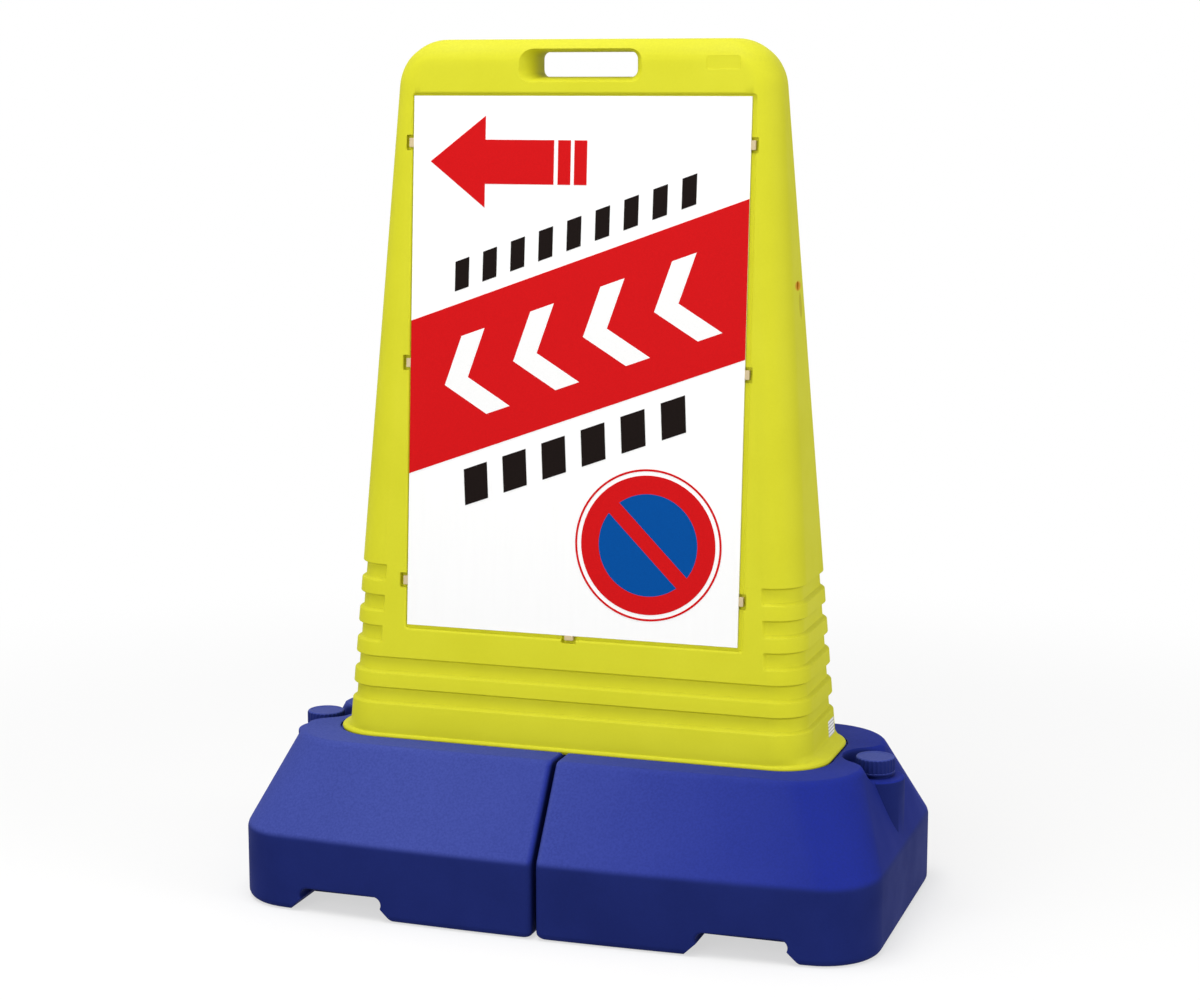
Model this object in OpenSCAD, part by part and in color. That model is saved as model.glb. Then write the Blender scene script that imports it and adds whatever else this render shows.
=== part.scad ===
// Freestanding sign: a hollow moulded tower with a printed message panel on each face.
// Two hollow ballast tanks close round its foot from the left and the right.
// Origin on the floor, under the middle of the sign. +X right, +Z up, the front faces -Y.

/* [Tower] */
// Height of the whole sign
sign_h = 890; // [820:5:1000]
// Width of the tower at its very top, before the corners round it
crown_w = 401; // [380:1:430]
// Depth of the tower at its very top, before the edges round it
crown_d = 64; // [58:1:76]
// Plan radius of the tower's upright corners, low down
corner_r_low = 38; // [30:1:44]
// Plan radius of the tower's upright corners, at the top
corner_r_top = 29; // [22:1:31]
// Radius of the two top corners, seen from the front
shoulder_r = 46; // [30:1:60]
// Rounding over the top, seen from the side
crown_r = 22; // [12:1:26]
// Moulded wall of the tower
shell_t = 3.5; // [2.5:0.1:4.5]

/* [Lip and foot of the tower] */
// Width over the lip that covers the joint with the base
lip_w = 534; // [500:2:580]
// Depth over the lip
lip_d = 168; // [160:1:190]
// Plan radius of the lip's corners
lip_r = 52; // [42:1:60]
// Thickness of the lip
lip_t = 6; // [4:0.5:8]
// Overhang of the lip at the two ends
lip_end = 13.5; // [8:0.5:18]
// Overhang of the lip at the two faces
lip_face = 2; // [1:0.5:8]
// Depth of the rebate that the lip lies in
lip_sink = 3; // [2:0.5:5]
// Fillet between the lip and the wall above it
lip_fillet = 7; // [5:0.5:12]
// How far the stem below is narrower than the lip, at the ends
stem_end = 29; // [24:1:34]
// How far the stem below is narrower than the lip, at the faces
stem_face = 14; // [10:1:20]
// Plan radius of the stem's corners
stem_r = 36; // [26:1:40]
// How far the foot spreads beyond the stem
foot_out = 20; // [14:1:24]
// Thickness of the foot
foot_t = 9; // [6:0.5:12]
// Height of the slope from the foot up to the stem
foot_ramp = 7; // [4:0.5:10]

/* [Grooves] */
// Height of the topmost groove's upper edge
groove_z = 350; // [345:1:380]
// Distance from one groove to the next
groove_pitch = 32.4; // [30:0.2:34]
// Height of a groove
groove_h = 19; // [14:0.5:20]
// Depth of a groove
groove_d = 4.3; // [3:0.1:5.5]
// Height of the slope at a groove's lower edge
groove_ramp = 4; // [3:0.5:7]
// Height of the slope at a groove's upper edge
groove_step = 3; // [2:0.5:5]

/* [Handle] */
// Width of the hand hole at its narrowest
slot_w = 107; // [90:1:120]
// Height of the hand hole at its narrowest
slot_h = 24.5; // [22:0.5:32]
// Widening of the hand hole to each side, at the two faces
slot_flare_w = 11.5; // [6:0.5:16]
// Widening of the hand hole up and down, at the two faces
slot_flare_h = 5; // [3:0.5:7]
// Height of the bar above the hand hole
slot_bar = 13; // [11:0.5:20]
// Corner radius of the hand hole
slot_r = 7; // [4:0.5:10]

/* [Message panel] */
// Width of the panel
panel_w = 357; // [330:1:370]
// Thickness of the panel
panel_t = 2.5; // [2:0.1:3]
// Height of the panel's lower edge above the floor
panel_z = 288; // [280:1:300]
// Height of the rail between the panel and the hand hole
panel_rail = 19; // [15:1:30]
// Depth of the recess that holds the panel
recess_d = 4; // [3.2:0.1:5]
// Gap between the panel and the recess, all round
panel_gap = 3; // [1:0.5:4]
// How far the loose panel lies to the left in its recess
panel_slip = 2; // [0:0.5:2.5]
// How far the loose panel lies up in its recess
panel_lift = 1; // [0:0.5:2.5]
// Bevel round the recess
recess_bevel = 1.8; // [0.5:0.1:2.5]
// Corner radius of the recess
recess_r = 3; // [1:0.5:6]
// Thickness of the printed film
film_t = 0.3; // [0.2:0.05:0.5]
// Length of a panel clip, along the panel's edge
clip_l = 9.5; // [8:0.5:14]
// Width of a panel clip, outward from the panel's edge
clip_w = 5; // [4:0.5:7]
// How far a clip reaches behind the recess's floor
clip_deep = 1.8; // [1.2:0.1:3]
// Free space beside a clip in its notch
clip_gap = 3; // [1:0.1:4]
// Free space under a clip
clip_under = 0.8; // [0.5:0.1:1.5]

/* [Small details] */
// Width of the bare badge field above the panel
badge_w = 35; // [25:1:45]
// Height of the bare badge field
badge_h = 14; // [10:1:16]
// Depth of the bare badge field
badge_deep = 0.8; // [0.4:0.1:1.5]
// Radius of the vent hole in the tower's end
vent_r = 4.5; // [2:0.5:6]
// Height of the vent hole
vent_z = 646; // [600:1:700]
// Length of the bare side label
label_l = 24; // [18:1:32]
// Height of the bare side label
label_h = 17; // [12:1:24]
// Thickness of the bare side label
label_t = 0.4; // [0.3:0.1:0.8]

/* [Base] */
// Flat top beyond the lip, at each end
deck_end = 37; // [34:1:50]
// Flat top beyond the lip, at each face
deck_face = 37; // [30:1:48]
// Plan radius of the flat top's corners
deck_r = 69; // [55:1:80]
// Height of the flat top
deck_z = 168; // [155:1:185]
// Run of the slope at each end
slope_end = 36; // [25:1:50]
// Run of the slope at each face
slope_face = 65; // [50:1:80]
// Height of the upright wall
wall_h = 78; // [60:1:90]
// Plan radius of the upright wall's corners
wall_r = 62; // [50:1:80]
// Bow of the long walls, from the corners out to the split
wall_bow = 10; // [2:1:16]
// Gap between the two tanks
split_gap = 4.4; // [2:0.2:8]
// Rounding of the tanks' upright edges at the split
split_r = 6; // [3:0.5:9]
// Rounding of the edges round the sole and the flat top
edge_r = 6; // [4:0.5:8]
// Moulded wall of the tanks
tank_t = 4.5; // [3:0.1:5.5]
// Free space between the tanks and the tower
tank_gap = 2; // [1:0.25:3]

/* [Finger notches] */
// Width of a notch at the floor
notch_w = 118; // [100:1:125]
// Height of a notch
notch_h = 25; // [18:1:30]
// How much narrower a notch is at its top, on each side
notch_draft = 13; // [6:1:18]
// How far a notch reaches in from the long wall
notch_deep = 74; // [60:1:78]
// Distance of a notch's middle from the end of the base
notch_from_end = 127; // [120:1:140]
// Corner radius of a notch
notch_r = 8; // [4:0.5:10]

/* [Filler and cap] */
// Distance of the filler's axis from the end of the base
filler_from_end = 34; // [31:0.5:40]
// Radius of the upright boss that carries the filler
boss_r = 30.5; // [28:0.5:33]
// Depth of the boss's flat top below the deck
boss_sink = 19.5; // [17:0.5:24]
// Radius of the pocket that the cap stands in
pocket_r = 33; // [30:0.5:36]
// Plan radius with which the pocket opens to the end of the base, at the deck
pocket_flare = 36; // [10:1:40]
// How far the pocket's opening runs out past the slope
pocket_past = 0.3; // [0.2:0.1:0.6]
// Radius of the filler's bore
bore_r = 13; // [10:0.5:13.5]
// Outer radius of the filler neck
neck_r = 16.5; // [15.5:0.1:16.8]
// Height of the neck above the boss
neck_h = 16; // [14:0.5:19]
// Outer radius of the cap, over its ribs
cap_r = 20.4; // [20:0.1:23]
// Height of a rib on the cap
rib_d = 0.8; // [0.5:0.1:1.2]
// Width of a rib on the cap
rib_w = 2.2; // [1.2:0.1:3]
// Thickness of the cap's top, at its rim
cap_top_t = 2.5; // [2:0.1:3.5]
// Depth of the dish in the cap's top
cap_dish = 0.6; // [0.3:0.1:1]
// Width of the rim round the dish
cap_dish_rim = 4; // [3:0.5:6]
// Bore radius of the cap
cap_bore_r = 18.1; // [17.9:0.1:18.4]
// Space left under the cap's rim
cap_rim_gap = 3.5; // [2:0.25:5]
// Thickness of the seal ring
seal_t = 1.5; // [1:0.1:2.5]
// Width of the seal ring
seal_w = 3.2; // [2:0.1:3.4]
// Pitch of the thread
thread_pitch = 7; // [6:0.5:8]
// Height of a thread, from its root to its crest
thread_d = 1.2; // [0.9:0.1:1.3]
// Width of a thread at its root
thread_w = 2; // [1.4:0.1:2.4]

/* [Hidden] */

// Counts
GROOVES = 5;
LAST_GROOVE = GROOVES - 1;
FULL_GROOVES = 2;
CORNER_STEPS = 5;
WALL_STEPS = 4;
POCKET_STEPS = 4;
BACK_STEPS = 8;
CAP_RIBS = 28;
TURN_STEPS = 24;
THREAD_TURNS = 1;

// Overrun of the cuts
over = 5;

// Colours
YELLOW = [0.85, 0.84, 0.16];
BLUE = [0.16, 0.20, 0.52];
RED = [0.84, 0.07, 0.09];
SIGN_BLUE = [0.0, 0.31, 0.63];
BLACK = [0.10, 0.07, 0.06];
WHITE = [0.97, 0.97, 0.96];
CLIP_WHITE = [0.90, 0.90, 0.86];
SEAL_GREY = [0.15, 0.15, 0.16];

// Levels of the lip and the tower's half sizes, which shrink evenly with height
lip_low_z = deck_z - lip_sink;
lip_top_z = lip_low_z + lip_t;
body_half_w = lip_w / 2 - lip_end;
body_half_d = lip_d / 2 - lip_face;
end_taper = (body_half_w - crown_w / 2) / (sign_h - lip_top_z);
face_taper = (body_half_d - crown_d / 2) / (sign_h - lip_top_z);
face_tilt = atan(face_taper);
end_tilt = atan(end_taper);
stem_half_w = lip_w / 2 - stem_end;
stem_half_d = lip_d / 2 - stem_face;

// Half sizes of the base at the floor and at the flat top
deck_half_w = lip_w / 2 + deck_end;
deck_half_d = lip_d / 2 + deck_face;
base_half_w = deck_half_w + slope_end;
base_half_d = deck_half_d + slope_face;

// Hand hole and panel
slot_z = sign_h - slot_bar - slot_h / 2;
slot_half_d = half_d(slot_z);
panel_h = (slot_z - slot_h / 2 - panel_rail - panel_z) / cos(face_tilt);
panel_half_w = panel_w / 2;
// A clip stands beside each long edge at these shares of the panel's height
clip_height_shares = [0.085, 0.5, 0.913];

// Filler
filler_x = base_half_w - filler_from_end;
boss_z = deck_z - boss_sink;
neck_top_z = boss_z + neck_h;
cap_top_z = neck_top_z + seal_t + cap_top_t;
cap_rim_z = boss_z + cap_rim_gap;
thread_low_z = cap_rim_z + thread_w;

// Artwork: every size is a share of the sheet that fits the panel
art = min(panel_w, panel_h * 0.653);
BAND_TILT = 20;
band_mid_share = 0.5536;
band_share = 0.417;
CHEVRONS = 4;
chevron_size_shares = [0.17, 0.235, 0.075];
chevron_pitch_share = 0.222;
upper_row_share = 0.076;
lower_row_share = 0.09;
// Each dash row: count, width, height and pitch, and where its middle lies along the band
upper_dash_shares = [9, 0.045, 0.08, 0.0894, 0.094];
lower_dash_shares = [6, 0.075, 0.1, 0.1253, -0.106];
dash_slant_share = 0.03;
// The arrow's tip, head and shaft, from the sheet's left edge and top
arrow_tip_shares = [0.053, -0.186];
arrow_head_shares = [0.167, 0.13];
arrow_shaft_shares = [0.207, 0.0625];
arrow_bar_shares = [0.012, 0.038, 0.0105, 0.039];
// The roundel's centre from the lower right corner, and its radii from outside in
roundel_centre_shares = [-0.2695, 0.274];
roundel_radius_shares = [0.2165, 0.2105, 0.1985, 0.146];
slash_share = 0.043;

// Half width and half depth of the tower at height z, and its corner radius
function half_w(z) = body_half_w - end_taper * (z - lip_top_z);
function half_d(z) = body_half_d - face_taper * (z - lip_top_z);
function corner_r(z) = corner_r_low + (corner_r_top - corner_r_low) * (z - lip_top_z) / (sign_h - lip_top_z);

// Height lost by a quarter round of radius r, a distance x before it ends
function round_in(r, x) = r - sqrt(max(0, r * r - x * x));

// Points of an arc, first and last included
function arc(cx, cy, r, a0, a1, steps) =
    [for (i = [0 : steps]) let (a = a0 + (a1 - a0) * i / steps) [cx + r * cos(a), cy + r * sin(a)]];

// Gives a flat outline a height
function lift(pts, z) = [for (p = pts) [p[0], p[1], z]];

// Outline of the tower: four round corners, and two more points on each broad face.
// side_in draws in the corners and ends, face_in the broad faces between them.
function tower_outline(w, d, r, side_in = 0, face_in = 0) =
    let (cx = w - r, cy = d - r, s = side_in, ex = w - r - groove_step, ey = d - face_in)
    concat(arc(cx, cy, r - s, 0, 90, CORNER_STEPS), [[ex, ey], [-ex, ey]],
           arc(-cx, cy, r - s, 90, 180, CORNER_STEPS), arc(-cx, -cy, r - s, 180, 270, CORNER_STEPS),
           [[-ex, -ey], [ex, -ey]], arc(cx, -cy, r - s, 270, 360, CORNER_STEPS));

// One ring of the tower's wall at height z
function wall_ring(z, side_in = 0, face_in = 0) =
    lift(tower_outline(half_w(z), half_d(z), corner_r(z), side_in, face_in), z);

// One ring of the sweep from the lip up into the wall, with a share of the lip's overhang left
function sweep_ring(z, share) =
    lift(tower_outline(half_w(z) + lip_end * share, half_d(z) + lip_face * share,
                       corner_r(z) + (lip_r - corner_r_low) * share), z);

// The four rings of groove i, counted from the top
function groove_rings(i) =
    let (top = groove_z - i * groove_pitch, low = top - groove_h,
         face = i < GROOVES - FULL_GROOVES ? 0 : groove_d)
    [wall_ring(low), wall_ring(low + groove_ramp, groove_d, face),
     wall_ring(top - groove_step, groove_d, face), wall_ring(top)];

// A ring of the tower's top, a distance h below the crown
function crown_ring(h, inset = 0) =
    let (z = sign_h - h,
         w = half_w(z) - round_in(shoulder_r, shoulder_r - min(h, shoulder_r)),
         d = half_d(z) - round_in(crown_r, crown_r - min(h, crown_r)))
    lift(tower_outline(w - inset, d - inset, min(corner_r(z), d) - inset), z);

// Distances below the crown at which it has a ring, as shares of the shoulder's radius
crown_shares = [1, 0.72, 0.48, 0.33, 0.2, 0.1, 0.035, 0];

// Skin through rings of equally many points, closed at both ends
module skin(rings) {
    n = len(rings[0]);
    m = len(rings);
    sides = [for (j = [0 : m - 2], i = [0 : n - 1], t = [0, 1])
        let (a = j * n + i, b = j * n + (i + 1) % n)
        t == 0 ? [a, a + n, b] : [b, a + n, b + n]];
    ends = [[for (i = [0 : n - 1]) i], [for (i = [n - 1 : -1 : 0]) (m - 1) * n + i]];
    polyhedron(points = [for (r = rings, p = r) p], faces = concat(sides, ends));
}

// Rectangle with round corners, centred
module round_rect(w, d, r) {
    square([w - 2 * r, d], center = true);
    square([w, d - 2 * r], center = true);
    for (x = [-1, 1], y = [-1, 1])
        translate([x * (w / 2 - r), y * (d / 2 - r)]) circle(r = r, $fn = 64);
}

// Outline points of the same rectangle, for skins
function round_rect_points(w, d, r, steps) =
    concat(arc(w / 2 - r, d / 2 - r, r, 0, 90, steps), arc(r - w / 2, d / 2 - r, r, 90, 180, steps),
           arc(r - w / 2, r - d / 2, r, 180, 270, steps), arc(w / 2 - r, r - d / 2, r, 270, 360, steps));

// Puts its children on a broad face: x right, y up the face, z out of it.
// The frame's origin is the panel's lower middle, in the plane of the wall.
module on_face(turn) {
    rotate([0, 0, turn])
        translate([0, -half_d(panel_z), panel_z])
            rotate([90 - face_tilt, 0, 0])
                children();
}

// Places of the clips: beside both long edges and below the lower edge
module at_clips() {
    for (s = [-1, 1], h = clip_height_shares)
        translate([s * panel_half_w, h * panel_h, -recess_d])
            rotate([0, 0, s > 0 ? 0 : 180])
                children();
    translate([0, 0, -recess_d]) rotate([0, 0, -90]) children();
}

// What the panel needs cut out of the wall
module face_cuts() {
    hole_w = panel_w + 2 * panel_gap;
    hole_h = panel_h + 2 * panel_gap;
    translate([panel_slip, panel_h / 2 - panel_lift, -recess_d])
        linear_extrude(recess_d + over) round_rect(hole_w, hole_h, recess_r);
    translate([panel_slip, panel_h / 2 - panel_lift, 0])
        skin([for (s = [-1, 1])
            lift(round_rect_points(hole_w + (1 + s) * recess_bevel, hole_h + (1 + s) * recess_bevel,
                                   recess_r + (1 + s) * recess_bevel / 2, 2),
                 s * recess_bevel)]);
    at_clips()
        translate([-over, -clip_l / 2 - clip_gap, -clip_deep - clip_under])
            cube([over + clip_w + clip_gap, clip_l + 2 * clip_gap, clip_deep + clip_under + recess_d + over]);
}

// The wall behind those cuts, kept solid inside the tower
module face_backing() {
    hole_w = panel_w + 2 * (panel_gap + shell_t);
    hole_h = panel_h + 2 * (panel_gap + shell_t);
    translate([panel_slip - hole_w / 2, panel_h / 2 - panel_lift - hole_h / 2, -recess_d - shell_t])
        cube([hole_w, hole_h, recess_d + shell_t + over]);
    at_clips()
        translate([-over, -clip_l / 2 - clip_gap - shell_t, -clip_deep - clip_under - shell_t])
            cube([over + clip_w + clip_gap + shell_t, clip_l + 2 * (clip_gap + shell_t),
                  clip_deep + clip_under + recess_d + over]);
}

// Hand hole through the tower, grown by a wall on request
module hand_hole(grow = 0) {
    throat = [slot_w + 2 * grow, slot_h + 2 * grow, slot_r + grow];
    mouth = throat + [2 * slot_flare_w, 2 * slot_flare_h, slot_flare_h];
    flare = mouth + (mouth - throat) * over / slot_half_d * 2;
    stations = [[-slot_half_d - over, flare], [-slot_half_d, mouth], [-slot_half_d / 2, throat],
                [slot_half_d / 2, throat], [slot_half_d, mouth], [slot_half_d + over, flare]];
    translate([0, 0, slot_z])
        rotate([90, 0, 0])
            skin([for (s = stations) lift(round_rect_points(s[1][0], s[1][1], s[1][2], 4), s[0])]);
}

// Hollow of the tower
module tower_hollow() {
    stem = tower_outline(stem_half_w - shell_t, stem_half_d - shell_t, stem_r - shell_t);
    low_groove_z = groove_z - LAST_GROOVE * groove_pitch - groove_h;
    deep = shell_t + groove_d;
    difference() {
        skin([lift(stem, foot_t), lift(stem, lip_low_z),
              wall_ring(lip_top_z + lip_fillet, shell_t, shell_t),
              wall_ring(low_groove_z - groove_ramp, deep, deep),
              wall_ring(groove_z + groove_ramp, deep, deep),
              wall_ring(groove_z + groove_pitch, shell_t, shell_t),
              crown_ring(shoulder_r + shell_t, shell_t),
              crown_ring(crown_r, shell_t),
              crown_ring(crown_r / 2, shell_t * 1.5)]);
        for (turn = [0, 180]) on_face(turn) face_backing();
        hand_hole(shell_t);
    }
}

module tower_shell() {
    foot = tower_outline(stem_half_w + foot_out, stem_half_d + foot_out, stem_r + foot_out);
    sole = tower_outline(stem_half_w + foot_out - foot_t / 4, stem_half_d + foot_out - foot_t / 4,
                         stem_r + foot_out - foot_t / 4);
    stem = tower_outline(stem_half_w, stem_half_d, stem_r);
    lip = tower_outline(lip_w / 2, lip_d / 2, lip_r);
    lip_edge = tower_outline(lip_w / 2 - lip_t / 4, lip_d / 2 - lip_t / 4, lip_r - lip_t / 4);
    fillet_z = lip_top_z + lip_fillet;
    color(YELLOW)
        difference() {
            skin(concat(
                [lift(sole, 0), lift(foot, foot_t / 4), lift(foot, foot_t * 3 / 4),
                 lift(stem, foot_t + foot_ramp), lift(stem, lip_low_z),
                 lift(lip_edge, lip_low_z), lift(lip, lip_low_z + lip_t / 4),
                 lift(lip, lip_top_z - lip_t / 4),
                 sweep_ring(lip_top_z, 1 / 2), sweep_ring(lip_top_z + lip_fillet / 3, 1 / 6),
                 wall_ring(fillet_z)],
                [for (i = [LAST_GROOVE : -1 : 0], r = groove_rings(i)) r],
                [for (s = crown_shares) crown_ring(s * shoulder_r)]));
            tower_hollow();
            for (turn = [0, 180]) on_face(turn) face_cuts();
            hand_hole();
            translate([0, 0, vent_z])
                rotate([0, 90, 0]) cylinder(r = vent_r, h = half_w(vent_z) + over, $fn = 32);
            // The bare badge field, on the rail right of the hand hole
            on_face(0)
                translate([panel_half_w - badge_w * 1.35, panel_h + panel_rail + badge_h / 2, -badge_deep])
                    linear_extrude(badge_deep + over) square([badge_w, badge_h]);
        }
}

// Bare label low on the right end of the tower, up to where its corner starts to turn
module side_label() {
    z = lip_top_z + lip_fillet + label_h / 2;
    color(WHITE)
        translate([half_w(z), half_d(z) - corner_r(z) - label_l, z])
            rotate([0, -end_tilt, 0])
                translate([0, 0, -label_h / 2]) cube([label_t, label_l, label_h]);
}

// The panel: a flat sheet
module panel(turn) {
    color(WHITE)
        on_face(turn)
            translate([-panel_half_w, 0, -recess_d]) cube([panel_w, panel_h, panel_t]);
}

// The clips that hold the sheet
module clips(turn) {
    color(CLIP_WHITE)
        on_face(turn)
            at_clips()
                translate([0, -clip_l / 2, -clip_deep]) cube([clip_w, clip_l, clip_deep + panel_t]);
}

// Lays a printed shape on the sheet, cut off at the sheet's edges
module film(turn) {
    on_face(turn)
        translate([0, 0, panel_t - recess_d])
            linear_extrude(film_t)
                intersection() {
                    translate([-panel_half_w, 0]) square([panel_w, panel_h]);
                    children();
                }
}

// Puts its children on the slanting band's middle line
module on_band() {
    translate([0, band_mid_share * panel_h]) rotate(BAND_TILT) children();
}

// One chevron that points left, centred
module chevron() {
    w = chevron_size_shares[0] * art;
    h = chevron_size_shares[1] * art;
    t = chevron_size_shares[2] * art;
    polygon([[-w / 2, 0], [w / 2 - t, h / 2], [w / 2, h / 2], [t - w / 2, 0], [w / 2, -h / 2],
             [w / 2 - t, -h / 2]]);
}

module chevron_row() {
    for (i = [0 : CHEVRONS - 1])
        translate([(i - (CHEVRONS - 1) / 2) * chevron_pitch_share * art, 0]) chevron();
}

// A row of slanting dashes: count, width, height, pitch, middle
module dash_row(row) {
    w = row[1] * art;
    h = row[2] * art;
    lean = dash_slant_share * art;
    for (i = [0 : row[0] - 1])
        translate([((i - (row[0] - 1) / 2) * row[3] + row[4]) * art, 0])
            polygon([[-w / 2 - lean / 2, -h / 2], [w / 2 - lean / 2, -h / 2], [w / 2 + lean / 2, h / 2],
                     [lean / 2 - w / 2, h / 2]]);
}

module arrow(turn) {
    tip = [-panel_half_w + arrow_tip_shares[0] * art, panel_h + arrow_tip_shares[1] * art];
    head = arrow_head_shares * art;
    shaft = arrow_shaft_shares * art;
    bar = arrow_bar_shares * art;
    end_x = head[0] + shaft[0];
    color(RED)
        film(turn)
            translate(tip) {
                polygon([[0, 0], [head[0], head[1]], [head[0], shaft[1]], [end_x, shaft[1]],
                         [end_x, -shaft[1]], [head[0], -shaft[1]], [head[0], -head[1]]]);
                for (i = [0, 1])
                    translate([end_x + bar[0] + i * (bar[1] + bar[2]), -shaft[1]])
                        square([bar[1], 2 * shaft[1]]);
            }
}

module band(turn) {
    color(RED)
        film(turn)
            on_band()
                difference() {
                    square([2 * panel_w, band_share * art], center = true);
                    chevron_row();
                }
}

module chevrons(turn) {
    color(WHITE) film(turn) on_band() chevron_row();
}

module dashes(turn) {
    color(BLACK)
        film(turn)
            on_band() {
                translate([0, (band_share / 2 + upper_row_share) * art]) dash_row(upper_dash_shares);
                translate([0, -(band_share / 2 + lower_row_share) * art]) dash_row(lower_dash_shares);
            }
}

// Puts its children on the roundel's centre
module at_roundel() {
    translate([panel_half_w + roundel_centre_shares[0] * art, roundel_centre_shares[1] * art]) children();
}

module slash() {
    rotate(-45) square([2 * roundel_radius_shares[3] * art, slash_share * art], center = true);
}

module ring(turn) {
    r = roundel_radius_shares * art;
    color(RED)
        film(turn)
            at_roundel() {
                difference() {
                    circle(r = r[0], $fn = 96);
                    circle(r = r[1], $fn = 96);
                }
                difference() {
                    circle(r = r[2], $fn = 96);
                    circle(r = r[3], $fn = 96);
                }
                intersection() {
                    circle(r = r[3], $fn = 96);
                    slash();
                }
            }
}

module disc(turn) {
    color(SIGN_BLUE)
        film(turn)
            at_roundel()
                difference() {
                    circle(r = roundel_radius_shares[3] * art, $fn = 96);
                    slash();
                }
}

// Half of the base's outline, right of the split. The long wall bows out to the split.
function half_outline(w, d, r, bow, inset = 0) =
    let (x0 = split_gap / 2 + inset, x1 = w - r, dd = d - inset, rr = r - inset,
         wall = [for (i = [1 : WALL_STEPS - 1]) let (x = x0 + split_r + (x1 - x0 - split_r) * i / WALL_STEPS)
                 [x, dd - bow * pow(x / x1, 2)]],
         cy = d - bow - r)
    concat(arc(x0 + split_r, split_r - dd, split_r, 180, 270, 3),
           [for (p = wall) [p[0], -p[1]]],
           arc(x1, -cy, rr, 270, 360, CORNER_STEPS), arc(x1, cy, rr, 0, 90, CORNER_STEPS),
           [for (i = [WALL_STEPS - 2 : -1 : 0]) wall[i]],
           arc(x0 + split_r, dd - split_r, split_r, 90, 180, 3));

// One ring of a tank at height z: upright below wall_h, sloping in above it
function tank_ring(z, inset = 0) =
    let (s = max(0, (z - wall_h) / (deck_z - wall_h)))
    lift(half_outline(base_half_w - s * slope_end, base_half_d - s * slope_face,
                      wall_r + s * (deck_r - wall_r), wall_bow * (1 - 0.8 * s), inset), z);

// The end's slope at height z
function slope_x(z) = base_half_w - slope_end * (z - wall_h) / (deck_z - wall_h);

// Outline of the cap's pocket at height z: round about the filler, open to the end of the base
function pocket_outline(z) =
    let (up = (z - boss_z) / boss_sink, flare = edge_r / 2 + (pocket_flare - edge_r / 2) * up,
         cx = slope_x(z) + pocket_past - flare,
         cy = sqrt(pow(pocket_r + flare, 2) - pow(cx - filler_x, 2)),
         meet = atan2(cy, cx - filler_x), turn = (180 - meet) / BACK_STEPS, end_x = base_half_w + over)
    concat(arc(filler_x, 0, pocket_r, meet + turn, 360 - meet - turn, 2 * BACK_STEPS - 2),
           arc(cx, -cy, flare, 180 - meet, 0, CORNER_STEPS), [[end_x, -cy], [end_x, cy]],
           arc(cx, cy, flare, 0, meet - 180, CORNER_STEPS));

// The pocket, up past the deck
module pocket() {
    skin(concat([for (i = [0 : POCKET_STEPS]) let (z = boss_z + boss_sink * i / POCKET_STEPS)
                    lift(pocket_outline(z), z)],
                [lift(pocket_outline(deck_z), deck_z + over)]));
}

// Straight prism with the plan of the tower's stem, lip or foot, grown by g
module tower_prism(w, d, r, g, z0, z1) {
    translate([0, 0, z0]) linear_extrude(z1 - z0) round_rect(2 * (w + g), 2 * (d + g), r + g);
}

// Room for the tower between the tanks: stem, lip and foot, grown by g
module tower_room(g) {
    tower_prism(stem_half_w, stem_half_d, stem_r, g, -over, deck_z + over);
    tower_prism(lip_w / 2, lip_d / 2, lip_r, g, lip_low_z - (g - tank_gap), deck_z + over);
    tower_prism(stem_half_w + foot_out, stem_half_d + foot_out, stem_r + foot_out, g,
                -over, foot_t + foot_ramp + g);
}

// Outline of a finger notch: upright in y, rounded at its top and flared at the floor
function notch_outline(g) =
    let (w = notch_w / 2 + g, t = notch_w / 2 - notch_draft + g, h = notch_h + g,
         lean = atan(notch_draft / notch_h), top = arc(t - notch_r, h - notch_r, notch_r, -lean, 90, 4))
    concat([[-w, -over], [w, -over], [w, 0]], top, [for (i = [4 : -1 : 0]) [-top[i][0], top[i][1]]], [[-w, 0]]);

// The two notches of a tank, in its front and back walls, grown by g
module notches(g) {
    x = base_half_w - notch_from_end;
    y = base_half_d - notch_deep - g;
    for (s = [-1, 1])
        translate([x, s * (y + notch_deep / 2 + over), 0])
            rotate([90, 0, 0])
                linear_extrude(notch_deep + 2 * over, center = true) polygon(notch_outline(g));
}

// Thread on a round wall: its root at radius root, its crest towards crest_r
module thread(root, crest_r, z0, steps) {
    // The root sits a little inside the wall, so that the two fuse
    side = crest_r > root ? 1 : -1;
    bed = root - side * thread_d / 3;
    profile = [[bed, side * thread_w / 2], [crest_r, side * thread_w / 4],
               [crest_r, -side * thread_w / 4], [bed, -side * thread_w / 2]];
    skin([for (i = [0 : steps]) let (a = 360 * i / TURN_STEPS, z = z0 + thread_pitch * i / TURN_STEPS)
        [for (p = profile) [p[0] * cos(a), p[0] * sin(a), z + p[1]]]]);
}

thread_steps = THREAD_TURNS * TURN_STEPS;

// Hollow of the right tank, one wall in from everything
module tank_hollow() {
    roof = deck_z - tank_t;
    difference() {
        union() {
            skin([tank_ring(tank_t, tank_t + edge_r / 2), tank_ring(tank_t + edge_r, tank_t),
                  tank_ring(wall_h, tank_t), tank_ring(roof, tank_t + edge_r / 2)]);
            translate([filler_x, 0, wall_h / 2])
                cylinder(r = boss_r - tank_t, h = boss_z - tank_t - wall_h / 2, $fn = 64);
        }
        tower_room(tank_gap + tank_t);
        notches(tank_t);
        translate([filler_x, 0, boss_z - tank_t])
            cylinder(r = pocket_r + tank_t, h = boss_sink + tank_t + over, $fn = 64);
    }
}

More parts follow.
